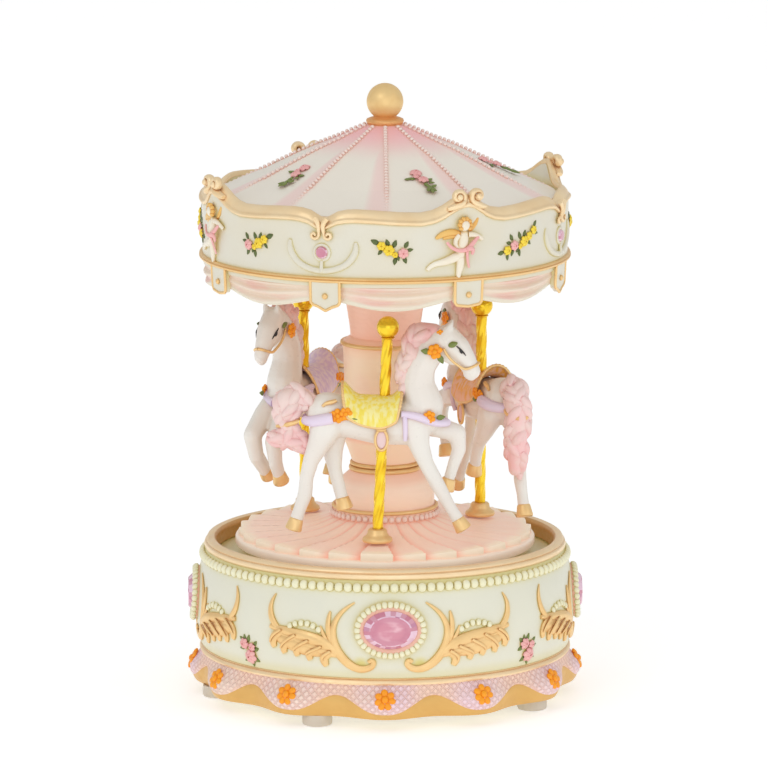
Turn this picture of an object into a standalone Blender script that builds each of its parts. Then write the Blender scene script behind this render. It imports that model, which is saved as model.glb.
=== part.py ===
"""A wind-up carousel music box in cast resin: three horses on brass poles turn on a round base.

Blender 4.5 script, metres, +Z up.  The origin is on the floor under the middle of the object.
Angles called `bearing` are in degrees from the front (-Y), positive towards +X.

The upper half (platform, column, roof, crown, poles and horses) turns on the spindle of a small
musical movement that hangs under the floor of the base's well.  The key is under the base.
"""

import math

import bmesh
import bpy
from mathutils import Matrix, Vector

MM = 0.001
GAP = 0.3 * MM                      # clearance left between pieces that touch on the real object

# ---- base: driving dimensions ---------------------------------------------------------------
LOBES = 12                          # scallops round the skirt
SKIRT_RADIUS = 52.8 * MM
SKIRT_SWELL = 1.8 * MM
HEM_Z = 3.2 * MM
RIM_Z = 43.9 * MM
WELL_RADIUS = 46.5 * MM
WELL_FLOOR_Z = 39.0 * MM
CEILING_Z = 36.0 * MM               # underside of the well floor, where the movement hangs
CAVITY_RADIUS = 38.5 * MM
RECESS_RADIUS = 42.4 * MM
LEDGE_Z = 13.0 * MM                 # the bottom plate is screwed up against this ledge
PLATE_THICK = 1.7 * MM
PLATE_SCREW_CIRCLE = 40.3 * MM
CENTRE_BORE = 4.3 * MM

FOOT_RADIUS = 4.1 * MM
FOOT_CIRCLE = 46.9 * MM
FOOT_BEARINGS = (-80, -23, 59, 133, 207)

# ---- carousel: driving dimensions -----------------------------------------------------------
DISC_RADIUS = 41.3 * MM
DISC_Z = 41.5 * MM
PETALS = 28
COLUMN_Z = 49.9 * MM
CROWN_STEPS = 64
CROWN_INNER = 46.9 * MM
CROWN_LIP_Z = 137.0 * MM            # everything above this height follows the wavy top edge
PEAK_BEARING = 24                   # bearing of the first of four scrolled peaks
PEAK_RISE = 6.4 * MM
BALL_RADIUS = 5.05 * MM
BALL_Z = 164.3 * MM

POLE_CIRCLE = 28.0 * MM
POLE_RADIUS = 1.5 * MM
POLE_BOTTOM_Z = 49.0 * MM
POLE_TOP_Z = 103.3 * MM
KNOB_RADIUS = 3.05 * MM
# Each horse: bearing of its pole, how far the hand-set pole leans along the ride at its foot and at
# its top, and the degrees by which the horse is turned on its pole.
HORSES = ((-2, -1.1 * MM, 1.6 * MM, 0), (109, 0.4 * MM, -0.6 * MM, 4), (233, -0.2 * MM, 0.4 * MM, 9))

# ---- movement: driving dimensions -----------------------------------------------------------
BED_Z = 33.2 * MM
BED_THICK = 2.5 * MM
BED_SCREWS = ((-19 * MM, 12 * MM), (-19 * MM, -12 * MM), (14 * MM, 20 * MM))
SPINDLE_RADIUS = 2.0 * MM
BARREL_RADIUS = 11.0 * MM
BARREL_Z = (18.6 * MM, 30.5 * MM)
CROWN_WHEEL_TEETH = 36
PINION_TEETH = 12
CROWN_WHEEL_RADIUS = 13.0 * MM
PINION_RADIUS = CROWN_WHEEL_RADIUS * PINION_TEETH / CROWN_WHEEL_TEETH
CYLINDER_Z = 25.0 * MM
CYLINDER_RADIUS = 6.2 * MM
CYLINDER_X = (17.9 * MM, 32.3 * MM)
NOTES = 18
BARREL_WHEEL_TEETH = 45
BARREL_WHEEL_RADIUS = 15.0 * MM
BARREL_WHEEL_Z = (30.8 * MM, 32.4 * MM)
TRAIN_PINION_TEETH = 9
TRAIN_PINION_RADIUS = BARREL_WHEEL_RADIUS * TRAIN_PINION_TEETH / BARREL_WHEEL_TEETH
TRAIN_Y = -(BARREL_WHEEL_RADIUS + TRAIN_PINION_RADIUS)
WORM_WHEEL_TEETH = 24
WORM_WHEEL_RADIUS = 5.5 * MM
WORM_RADIUS = 1.6 * MM
WORM_Z = 25.6 * MM
WORM_Y = TRAIN_Y - WORM_WHEEL_RADIUS - WORM_RADIUS
WORM_LEAD = 2 * math.pi * WORM_WHEEL_RADIUS / WORM_WHEEL_TEETH


# ---- materials ------------------------------------------------------------------------------
def paint(name, colour, roughness, metallic=0.0):
    """A Principled material; the colour is (red, green, blue) in linear light."""
    material = bpy.data.materials.new(name)
    material.use_nodes = True
    shader = material.node_tree.nodes["Principled BSDF"]
    shader.inputs["Base Color"].default_value = (*colour, 1.0)
    shader.inputs["Roughness"].default_value = roughness
    shader.inputs["Metallic"].default_value = metallic
    return material


def make_paints():
    return {
        "cream": paint("cream_resin", (0.86, 0.84, 0.70), 0.45),
        "ivory": paint("ivory_resin", (0.88, 0.86, 0.80), 0.42),
        "blush": paint("blush_resin", (0.87, 0.64, 0.56), 0.45),
        "white": paint("white_resin", (0.90, 0.88, 0.85), 0.35),
        "gilt": paint("gilt_paint", (0.72, 0.47, 0.18), 0.38, 0.6),
        "brass": paint("polished_brass", (0.86, 0.60, 0.08), 0.18, 1.0),
        "gem": paint("pink_gem", (0.78, 0.33, 0.55), 0.08),
        "foot": paint("clear_foot", (0.80, 0.78, 0.74), 0.5),
        "board": paint("plate_card", (0.60, 0.56, 0.48), 0.7),
        "zinc": paint("cast_zinc", (0.55, 0.55, 0.54), 0.45, 0.8),
        "steel": paint("spring_steel", (0.62, 0.62, 0.64), 0.25, 1.0),
    }


# ---- mesh helpers ---------------------------------------------------------------------------
def new_object(name, data, material):
    """Turns a bmesh into a named object with one material and its faces pointing out."""
    bmesh.ops.recalc_face_normals(data, faces=data.faces)
    mesh = bpy.data.meshes.new(name)
    data.to_mesh(mesh)
    data.free()
    mesh.shade_smooth()
    mesh.set_sharp_from_angle(angle=math.radians(38))
    mesh.materials.append(material)
    thing = bpy.data.objects.new(name, mesh)
    bpy.context.scene.collection.objects.link(thing)
    return thing


def spun(profile, steps):
    """A bmesh spun about Z from a closed outline of (radius, z) points in millimetres."""
    data = bmesh.new()
    corners = [data.verts.new((radius * MM, 0, z * MM)) for radius, z in profile]
    edges = [data.edges.new((corners[i - 1], corners[i])) for i in range(len(corners))]
    bmesh.ops.spin(data, geom=corners + edges, cent=(0, 0, 0), axis=(0, 0, 1),
                   angle=2 * math.pi, steps=steps, use_merge=True, use_duplicate=False)
    bmesh.ops.remove_doubles(data, verts=data.verts, dist=1e-6)
    on_axis = [edge for edge in data.edges if not edge.link_faces]
    bmesh.ops.delete(data, geom=on_axis, context="EDGES")
    return data


def lathe(name, profile, steps, material):
    return new_object(name, spun(profile, steps), material)


def arc(radius, middle_z, first, last, count):
    """Points (radius, z) in millimetres round a ball on the axis, by angle above its equator."""
    angles = [math.radians(first + (last - first) * i / (count - 1)) for i in range(count)]
    return [(radius * math.cos(a), middle_z + radius * math.sin(a)) for a in angles]


def prism(outline, low, high):
    """A bmesh extruded along Z from a flat outline of (x, y) points."""
    data = bmesh.new()
    face = data.faces.new([data.verts.new((x, y, low)) for x, y in outline])
    top = bmesh.ops.extrude_face_region(data, geom=[face])
    moved = [item for item in top["geom"] if isinstance(item, bmesh.types.BMVert)]
    bmesh.ops.translate(data, verts=moved, vec=(0, 0, high - low))
    return data


def block(low, high):
    """A bmesh box between two corners."""
    size = [b - a for a, b in zip(low, high)]
    middle = [(a + b) / 2 for a, b in zip(low, high)]
    data = bmesh.new()
    bmesh.ops.create_cube(data, size=1.0, matrix=Matrix.Translation(middle) @ Matrix.Diagonal((*size, 1)))
    return data


def add_rod(data, radius, start, end, steps=12, end_radius=None):
    """Adds a cylinder or cone between two points to a bmesh."""
    start = Vector(start)
    way = Vector(end) - start
    turn = way.to_track_quat("Z", "Y").to_matrix().to_4x4()
    bmesh.ops.create_cone(data, cap_ends=True, segments=steps, radius1=radius,
                          radius2=radius if end_radius is None else end_radius, depth=way.length,
                          matrix=Matrix.Translation(start + way / 2) @ turn)
    return data


def rod(radius, start, end, steps=12):
    return add_rod(bmesh.new(), radius, start, end, steps)


def combine(thing, data, operation, name):
    """Cuts or joins a bmesh to an object with a Boolean modifier."""
    tool = new_object(name, data, thing.data.materials[0])
    tool.hide_render = True
    tool.display_type = "WIRE"
    step = thing.modifiers.new(name, "BOOLEAN")
    step.operation = operation
    step.solver = "EXACT"
    step.object = tool
    return thing


def cut(thing, data, name):
    return combine(thing, data, "DIFFERENCE", name)


def join(thing, data, name):
    return combine(thing, data, "UNION", name)


def place(bearing, radius, z=0.0):
    """The point at a bearing and a distance from the axis."""
    angle = math.radians(bearing)
    return Vector((radius * math.sin(angle), -radius * math.cos(angle), z))


def stand_at(thing, bearing, radius, z=0.0):
    """Puts a piece that was modelled facing the front (-Y) at a bearing."""
    thing.location = place(bearing, radius, z)
    thing.rotation_euler = (0, 0, math.radians(bearing))
    return thing


def gear_outline(teeth, pitch_radius, first_tooth, addendum=0.55 * MM, dedendum=0.85 * MM):
    """The outline of a wheel with trapezoid teeth, thin enough to leave the train its backlash."""
    points = []
    for tooth in range(teeth):
        middle = first_tooth + 2 * math.pi * tooth / teeth
        step = 2 * math.pi / teeth
        for share, radius in ((-0.26, pitch_radius - dedendum), (-0.10, pitch_radius + addendum),
                              (0.10, pitch_radius + addendum), (0.26, pitch_radius - dedendum)):
            angle = middle + share * step
            points.append((radius * math.cos(angle), radius * math.sin(angle)))
    return points


# ---- base -----------------------------------------------------------------------------------
def make_drum(paints):
    """The casting: gilt rim, well for the platform, bulging wall and scalloped skirt."""
    outer = [(51.2, 3.2), (52.8, 5.0), (52.8, 9.4), (50.6, 12.4), (51.1, 13.4), (50.5, 14.4),
             (51.7, 20.0), (52.0, 27.0), (51.2, 34.0), (50.2, 39.0), (49.4, 41.2), (49.2, RIM_Z / MM)]
    well, floor, bore = WELL_RADIUS / MM, WELL_FLOOR_Z / MM, CENTRE_BORE / MM
    cavity, recess = CAVITY_RADIUS / MM, RECESS_RADIUS / MM
    ceiling, ledge = CEILING_Z / MM, LEDGE_Z / MM
    inner = [(well, RIM_Z / MM), (well, floor), (bore, floor), (bore, ceiling), (cavity, ceiling),
             (cavity, ledge), (recess, ledge), (recess, HEM_Z / MM)]
    data = spun(outer + inner, LOBES * 4)
    for corner in data.verts:
        radius = corner.co.xy.length
        if radius > SKIRT_RADIUS - 0.5 * MM and corner.co.z < 10 * MM:
            bearing = math.atan2(corner.co.x, -corner.co.y)
            corner.co.xy *= (radius + SKIRT_SWELL * math.cos(LOBES * bearing)) / radius
    drum = new_object("base_drum", data, paints["cream"])
    for number, (x, y) in enumerate(BED_SCREWS, 1):
        hole = rod(1.1 * MM, (x, y, CEILING_Z - MM), (x, y, CEILING_Z + 2.0 * MM), 8)
        cut(drum, hole, f"ceiling_hole_{number}")
    for number in range(3):
        spot = place(60 + 120 * number, PLATE_SCREW_CIRCLE)
        below = spot + Vector((0, 0, LEDGE_Z - MM))
        above = spot + Vector((0, 0, LEDGE_Z + 5.5 * MM))
        hole = rod(1.1 * MM, below, above, 8)
        cut(drum, hole, f"ledge_hole_{number + 1}")


def screw(name, x, y, head_z, length, head_radius, material):
    """A pan-head screw driven upwards; head_z is where the head meets the work."""
    z, top, wide = head_z / MM, (head_z + length) / MM, head_radius / MM
    outline = [(0, z - 1.3), (wide * 0.7, z - 1.3), (wide, z - 0.6), (wide, z),
               (0.8, z), (0.8, top), (0, top)]
    thing = lathe(name, outline, 10, material)
    thing.location = (x, y, 0)
    return thing


def make_bottom(paints):
    """Bottom plate with its screws, and the five stick-on feet."""
    top = (LEDGE_Z - GAP) / MM
    low = top - PLATE_THICK / MM
    plate = lathe("base_plate", [(5, low), (42.1, low), (42.1, top), (5, top)], 36, paints["board"])
    for number in range(3):
        spot = place(60 + 120 * number, PLATE_SCREW_CIRCLE)
        hole = rod(1.1 * MM, spot + Vector((0, 0, 9 * MM)), spot + Vector((0, 0, 15 * MM)), 8)
        cut(plate, hole, f"plate_hole_{number + 1}")
        screw(f"plate_screw_{number + 1}", spot.x, spot.y, (low - 0.1) * MM, 6.0 * MM, 1.6 * MM,
              paints["steel"])
    for number, bearing in enumerate(FOOT_BEARINGS, 1):
        wide = FOOT_RADIUS / MM
        height = (HEM_Z - 0.1 * MM) / MM
        outline = [(0, 0), (wide - 0.4, 0), (wide, 0.4), (wide, height), (0, height)]
        foot = lathe(f"foot_{number}", outline, 14, paints["foot"])
        foot.location = place(bearing, FOOT_CIRCLE)


def gem(name, width, height, depth, material):
    """An oval stone with a flat back, facing the front (-Y)."""
    data = bmesh.new()
    steps = 14
    loops = []
    for rise, share in ((0.0, 1.0), (0.5, 0.9), (1.0, 0.55)):
        turns = [2 * math.pi * i / steps for i in range(steps)]
        loops.append([data.verts.new((width / 2 * share * math.cos(a), -rise * depth,
                                      height / 2 * share * math.sin(a))) for a in turns])
    for lower, upper in zip(loops, loops[1:]):
        for i in range(steps):
            data.faces.new((lower[i - 1], lower[i], upper[i], upper[i - 1]))
    data.faces.new(loops[0])
    data.faces.new(list(reversed(loops[-1])))
    return new_object(name, data, material)


def make_gems(paints):
    """Four oval stones on the drum, and four small round ones on the crown."""
    for side, bearing in (("front", 0), ("right", 90), ("back", 180), ("left", 270)):
        stone = gem(f"base_gem_{side}", 14.7 * MM, 10.5 * MM, 2.0 * MM, paints["gem"])
        stand_at(stone, bearing, 52.3 * MM, 28 * MM)
    for number in range(4):
        stone = gem(f"crown_gem_{number + 1}", 3.4 * MM, 3.4 * MM, 1.0 * MM, paints["gem"])
        stand_at(stone, PEAK_BEARING + 45 + 90 * number, 50.4 * MM, 129.9 * MM)


# ---- platform, column, roof and crown ---------------------------------------------------------
def make_platform(paints):
    """Turning disc with a ring of raised petals, whose edge is scalloped."""
    disc, low = DISC_RADIUS / MM, DISC_Z / MM
    outline = [(2.3, low), (disc - 0.4, low), (disc, low + 0.5), (disc, 43.9), (40.4, 44.4), (40.4, 46.3),
               (39.6, 46.6), (23.5, 47.0), (15.4, 49.2), (2.3, 49.2)]
    data = spun(outline, PETALS * 2)
    for corner in data.verts:
        radius = corner.co.xy.length
        if 39 * MM < radius < 41 * MM and corner.co.z > 44 * MM:
            bearing = math.atan2(corner.co.x, -corner.co.y)
            corner.co.xy *= (radius + 0.4 * MM * math.cos(PETALS * bearing)) / radius
    new_object("platform", data, paints["blush"])


def make_column(paints):
    """Turned column: basket foot, three gilt rings, a waisted neck, then up under the roof."""
    foot = COLUMN_Z / MM
    outer = [(14.9, foot), (14.9, 51.0), (14.2, 52.8), (11.6, 54.2), (12.5, 57.5), (11.2, 60.6),
             (9.1, 62.2), (9.2, 65.0), (10.4, 67.8), (11.6, 71.0), (11.3, 95.0), (11.9, 97.9),
             (9.4, 99.4), (11.3, 108.0), (12.0, 116.0), (12.0, 151.3)]
    bore = [(1.8, 151.3), (1.8, 146.0), (0, 146.0), (0, 55.0), (5.5, 55.0), (5.5, foot)]
    lathe("column", outer + bore, 24, paints["blush"])


def crown_rise(bearing):
    """How far the top edge stands above its dips: four tall peaks and four low crests."""
    turn = math.radians(4 * (bearing - PEAK_BEARING))
    peak = max(0.0, math.cos(turn)) ** 3
    crest = 0.12 * max(0.0, -math.cos(turn)) ** 2
    return PEAK_RISE * (peak + crest)


def make_crown(paints):
    """Ring under the roof: swag edge below, gilt line, fascia and the wavy lip on top."""
    outline = [(48.4, 115.6), (49.9, 118.0), (49.8, 121.6), (50.6, 122.5), (49.8, 123.4),
               (49.9, 134.0), (50.9, 138.3), (49.2, 140.8), (46.9, 140.6), (46.9, 137.6),
               (44.2, 137.6), (46.9, 134.2), (46.9, 115.6)]
    data = spun(outline, CROWN_STEPS)
    for corner in data.verts:
        radius = corner.co.xy.length
        if corner.co.z > CROWN_LIP_Z and radius > CROWN_INNER + MM:
            bearing = math.degrees(math.atan2(corner.co.x, -corner.co.y))
            rise = crown_rise(bearing)
            corner.co.z += rise
            corner.co.xy *= (radius + 0.28 * rise) / radius
    new_object("crown", data, paints["ivory"])


def make_roof(paints):
    """Low cone that rests on the crown's inner ledge and on the column's top."""
    outer = [(46.5, 137.9), (46.5, 139.7), (36.3, 144.5), (19.8, 151.8), (13.2, 154.5), (4.9, 158.0)]
    inner = [(1.9, 158.0), (1.9, 151.6), (12.5, 151.6), (19.0, 149.4), (35.5, 142.1), (44.4, 137.9)]
    lathe("roof", outer + inner, 40, paints["white"])


def make_finial(paints):
    """Gilt ball on a collar, with the stud that clamps the roof to the column."""
    ball = arc(BALL_RADIUS / MM, BALL_Z / MM, -60, 84, 8)
    outline = [(0, 147.0), (1.5, 147.0), (1.5, 158.3), (4.9, 158.3), (5.0, 159.4), (3.4, 160.0)]
    lathe("finial", outline + ball[1:] + [(0, (BALL_Z + BALL_RADIUS) / MM)], 18, paints["gilt"])


# ---- poles and horses -----------------------------------------------------------------------
def add_limb(data, points, steps=8):
    """Adds a chain of balls and tapered rods; each point is (x, y, z, radius) in millimetres."""
    balls = [(Vector(point[:3]) * MM, point[3] * MM) for point in points]
    for middle, radius in balls:
        bmesh.ops.create_uvsphere(data, u_segments=steps, v_segments=6, radius=radius,
                                  matrix=Matrix.Translation(middle))
    for (start, first), (end, last) in zip(balls, balls[1:]):
        add_rod(data, first, start, end, steps, last)


def horse_mesh():
    """A prancing horse heading +X, its pole at the origin, with saddle, mane and tail."""
    data = bmesh.new()
    trunk = ((12, 0, 82.2, 5.9), (2, 0, 80.6, 5.8), (-7, 0, 81.0, 5.7), (-14.4, 0, 82.4, 6.3))
    neck = ((13, 0, 84.5, 5.3), (14.8, 0, 94, 3.9), (16.6, 0, 101, 3.6))
    head = ((17.6, 0, 103.2, 3.4), (22, 0, 99, 3.0), (25, 0, 95, 1.9))
    ear = ((18, 1.2, 105.4, 1.2), (19, 1.4, 107.6, 0.6))
    mane = ((11.5, 0, 106.2, 2.4), (9.4, 0, 102, 3.2), (8.8, 0, 96, 3.2), (8.4, 0, 91.5, 2.9))
    tail = ((-20, 0, 86, 2.2), (-25.4, 0, 86.4, 2.4), (-26.2, 0, 79, 2.4), (-24.8, 0, 73, 1.8))
    saddle = ((5, 0, 86.0, 2.6), (-5, 0, 85.6, 2.6), (-10, 0, 90.2, 1.5))
    hind_near = ((-15.8, -2.6, 79, 4.2), (-18.8, -2.8, 70, 1.9), (-20.6, -2.8, 61.5, 1.5),
                 (-23.2, -2.8, 54.2, 1.9), (-23.6, -2.8, 52.4, 2.0))
    hind_far = ((-13, 2.6, 78, 4.2), (-13.4, 2.8, 66.6, 1.9), (-11.4, 2.8, 60.6, 1.5),
                (-10.6, 2.8, 58.4, 2.0))
    fore_near = ((9.6, -2.4, 79, 3.2), (12, -2.6, 69.8, 1.9), (16.6, -2.6, 61.4, 1.5), (21, -2.6, 54.8, 1.8),
                 (22.4, -2.6, 52.6, 2.0))
    fore_far = ((13, 2.4, 80, 3.4), (21, 2.6, 77.0, 2.0), (19.4, 2.6, 70.4, 1.5), (18.2, 2.6, 64.6, 1.9))
    for chain in (trunk, neck, head, ear, mane, tail, saddle, hind_near, hind_far, fore_near, fore_far):
        add_limb(data, chain)
    return data


def make_rides(paints):
    """Three poles with their feet and knobs, and a horse threaded on each."""
    for number, (bearing, foot_shift, top_shift, turn) in enumerate(HORSES, 1):
        foot = Vector((foot_shift, 0, POLE_BOTTOM_Z))
        top = Vector((top_shift, 0, POLE_TOP_Z))
        pole = new_object(f"pole_{number}", rod(POLE_RADIUS, foot, top, 12), paints["brass"])
        knob_data = bmesh.new()
        centre = top + (top - foot).normalized() * (KNOB_RADIUS + 0.1 * MM)
        bmesh.ops.create_uvsphere(knob_data, u_segments=10, v_segments=7, radius=KNOB_RADIUS,
                                  matrix=Matrix.Translation(centre))
        knob = new_object(f"pole_knob_{number}", knob_data, paints["brass"])
        ring = lathe(f"pole_foot_{number}", [(1.9, 47.4), (4.1, 47.4), (4.1, 48.2), (2.6, 50.2), (1.9, 50.2)],
                     14, paints["gilt"])
        ring.data.transform(Matrix.Translation((foot_shift, 0, 0)))
        horse = new_object(f"horse_{number}", horse_mesh(), paints["white"])
        skin = horse.modifiers.new("skin", "REMESH")
        skin.mode = "VOXEL"
        skin.voxel_size = 1.1 * MM
        thin = horse.modifiers.new("thin", "DECIMATE")
        thin.ratio = 0.085
        way = (top - foot).normalized() * 20 * MM
        bore = rod(POLE_RADIUS + GAP, foot + way * 0.2, top + way * 0.2, 12)
        cut(horse, bore, f"pole_bore_{number}")
        bpy.data.objects[f"pole_bore_{number}"].parent = horse
        for thing in (pole, knob, ring, horse):
            stand_at(thing, bearing, POLE_CIRCLE)
        horse.rotation_euler.z += math.radians(turn)


# ---- movement ---------------------------------------------------------------------------------
def make_bedplate(paints):
    """Zinc plate under the well floor, with the cylinder's two posts and the comb's block."""
    outline = [(34.6, -8), (34.6, 8), (33, 17.3), (20, 24), (-16, 24), (-24, 16), (-24, -16),
               (-14, -31), (14, -31), (24, -20)]
    data = prism([(x * MM, y * MM) for x, y in outline], BED_Z, BED_Z + BED_THICK)
    plate = new_object("bedplate", data, paints["zinc"])
    for name, start, end in (("inner_post", 16.0, 17.4), ("outer_post", 32.9, 34.3)):
        join(plate, block((start * MM, -2.8 * MM, 22 * MM), (end * MM, 2.8 * MM, BED_Z + MM)), name)
    comb_block = block((18.0 * MM, 12.6 * MM, 25.8 * MM), (32.2 * MM, 17.2 * MM, BED_Z + MM))
    join(plate, comb_block, "comb_block")
    shaft_bore = rod(1.2 * MM, (12 * MM, 0, CYLINDER_Z), (37 * MM, 0, CYLINDER_Z), 10)
    cut(plate, shaft_bore, "cylinder_bearings")
    cut(plate, rod(CENTRE_BORE, (0, 0, BED_Z - MM), (0, 0, BED_Z + 4 * MM), 16), "bush_bore")
    cut(plate, rod(1.2 * MM, (0, TRAIN_Y, BED_Z - MM), (0, TRAIN_Y, BED_Z + 4 * MM), 8), "train_bore")
    for number, (x, y) in enumerate(BED_SCREWS, 1):
        cut(plate, rod(1.1 * MM, (x, y, BED_Z - MM), (x, y, BED_Z + 4 * MM), 8), f"bed_hole_{number}")
        screw(f"bedplate_screw_{number}", x, y, BED_Z - 0.1 * MM, 4.4 * MM, 2.2 * MM, paints["steel"])
    lathe("spindle_bush", [(2.3, 32.8), (4.0, 32.8), (4.0, 39.4), (2.3, 39.4)], 16, paints["brass"])


def make_comb(paints):
    """Steel comb whose teeth reach to the cylinder's pins, held by two screws."""
    tip, root, back = 7.1 * MM, 12.4 * MM, 17.0 * MM
    first, last = 18.1 * MM, 32.1 * MM
    step = (last - first) / NOTES
    outline = [(last, back), (first, back)]
    for note in range(NOTES):
        left = first + note * step
        right = left + step * 0.68
        outline += [(left, root), (left, tip), (right, tip), (right, root)]
    outline += [(last, root)]
    data = prism(outline, 24.6 * MM, 25.4 * MM)
    comb = new_object("comb", data, paints["steel"])
    plate = bpy.data.objects["bedplate"]
    for number, x in enumerate((21.5 * MM, 28.7 * MM), 1):
        y = 14.9 * MM
        cut(comb, rod(1.1 * MM, (x, y, 23 * MM), (x, y, 27 * MM), 8), f"comb_hole_{number}")
        cut(plate, rod(1.1 * MM, (x, y, 24 * MM), (x, y, 31 * MM), 8), f"block_hole_{number}")
        screw(f"comb_screw_{number}", x, y, 24.5 * MM, 4.6 * MM, 1.8 * MM, paints["steel"])


def make_cylinder(paints):
    """Pinned cylinder on its shaft, with the pinion that the crown wheel drives."""
    steps, columns = 16, NOTES + 2
    first, last = CYLINDER_X
    data = bmesh.new()
    loops = []
    for column in range(columns):
        x = first + (last - first) * column / (columns - 1)
        loop = []
        for step in range(steps):
            pinned = 0 < column < columns - 1 and (step * 5 + column * 7) % 16 in (0, 6)
            radius = CYLINDER_RADIUS + (0.5 * MM if pinned else 0)
            angle = 2 * math.pi * step / steps
            loop.append(data.verts.new((x, radius * math.cos(angle), CYLINDER_Z + radius * math.sin(angle))))
        loops.append(loop)
    inner = [[data.verts.new((loop[0].co.x, 1.3 * MM * math.cos(2 * math.pi * s / steps),
                              CYLINDER_Z + 1.3 * MM * math.sin(2 * math.pi * s / steps)))
              for s in range(steps)] for loop in (loops[-1], loops[0])]
    rings = loops + inner
    for near, far in zip(rings, rings[1:] + rings[:1]):
        for i in range(steps):
            data.faces.new((near[i - 1], near[i], far[i], far[i - 1]))
    new_object("cylinder", data, paints["brass"])
    shaft = rod(1.0 * MM, (11.9 * MM, 0, CYLINDER_Z), (34.6 * MM, 0, CYLINDER_Z), 10)
    new_object("cylinder_shaft", shaft, paints["steel"])
    outline = gear_outline(PINION_TEETH, PINION_RADIUS, math.pi / PINION_TEETH)
    pinion = new_object("cylinder_pinion", prism(outline, 12.3 * MM, 13.9 * MM), paints["brass"])
    pinion.data.transform(Matrix.Translation((0, 0, CYLINDER_Z)) @ Matrix.Rotation(math.pi / 2, 4, "Y"))
    cut(pinion, rod(1.3 * MM, (11 * MM, 0, CYLINDER_Z), (15 * MM, 0, CYLINDER_Z), 10), "pinion_bore")


def make_barrel(paints):
    """Spring barrel with the crown wheel round its mouth, its spur wheel and the mainspring."""
    low, high = BARREL_Z[0] / MM, BARREL_Z[1] / MM
    wide = BARREL_RADIUS / MM
    outline = [(wide - 1, low), (14.3, low), (14.3, 19.8), (wide, 19.8), (wide, high), (0, high),
               (0, high - 1), (wide - 1, high - 1)]
    data = spun(outline, 36)
    pitch_z = CYLINDER_Z - PINION_RADIUS
    barrel = new_object("spring_barrel", data, paints["brass"])
    teeth = bmesh.new()
    for number in range(CROWN_WHEEL_TEETH):
        turn = Matrix.Rotation(2 * math.pi * number / CROWN_WHEEL_TEETH, 4, "Z")
        half_root, half_tip = 0.50 * MM, 0.22 * MM
        low_z, high_z = 19.5 * MM, pitch_z + 0.5 * MM
        corners = []
        for x in (12.2 * MM, 14.2 * MM):
            corners += [(x, -half_root, low_z), (x, half_root, low_z),
                        (x, half_tip, high_z), (x, -half_tip, high_z)]
        verts = [teeth.verts.new(turn @ Vector(corner)) for corner in corners]
        for face in ((0, 1, 2, 3), (7, 6, 5, 4), (0, 4, 5, 1), (1, 5, 6, 2), (2, 6, 7, 3), (3, 7, 4, 0)):
            teeth.faces.new([verts[i] for i in face])
    join(barrel, teeth, "crown_teeth")

    outline = gear_outline(BARREL_WHEEL_TEETH, BARREL_WHEEL_RADIUS, -math.pi / 2)
    wheel = new_object("barrel_wheel", prism(outline, *BARREL_WHEEL_Z), paints["brass"])
    cut(wheel, rod(SPINDLE_RADIUS + GAP, (0, 0, 30 * MM), (0, 0, 34 * MM), 16), "wheel_bore")

    turns, per_turn, thick = 4, 16, 0.4 * MM
    count = turns * per_turn
    strip = bmesh.new()
    rings = []
    for i in range(count + 1):
        angle = 2 * math.pi * i / per_turn
        radius = (3.2 + 6.2 * i / count) * MM
        ring = []
        for extra, z in ((0, 20.6), (thick, 20.6), (thick, 29.2), (0, 29.2)):
            reach = radius + extra
            ring.append(strip.verts.new((reach * math.cos(angle), reach * math.sin(angle), z * MM)))
        rings.append(ring)
    for near, far in zip(rings, rings[1:]):
        for i in range(4):
            strip.faces.new((near[i - 1], near[i], far[i], far[i - 1]))
    strip.faces.new(rings[0])
    strip.faces.new(list(reversed(rings[-1])))
    new_object("mainspring", strip, paints["steel"])


def make_spindle(paints):
    """Spindle from the barrel up through the bush to the platform, and the nut on top."""
    lathe("spindle", [(0, 30.8), (2.0, 30.8), (2.0, 39.8), (4.2, 39.8), (4.2, 41.2), (2.0, 41.2),
                      (2.0, 53.6), (0, 53.6)], 16, paints["steel"])
    outline = [(3.6 * MM * math.cos(math.pi * i / 3), 3.6 * MM * math.sin(math.pi * i / 3)) for i in range(6)]
    nut = new_object("spindle_nut", prism(outline, 49.5 * MM, 51.9 * MM), paints["steel"])
    cut(nut, rod(SPINDLE_RADIUS + GAP, (0, 0, 48 * MM), (0, 0, 53 * MM), 12), "nut_bore")


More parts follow.
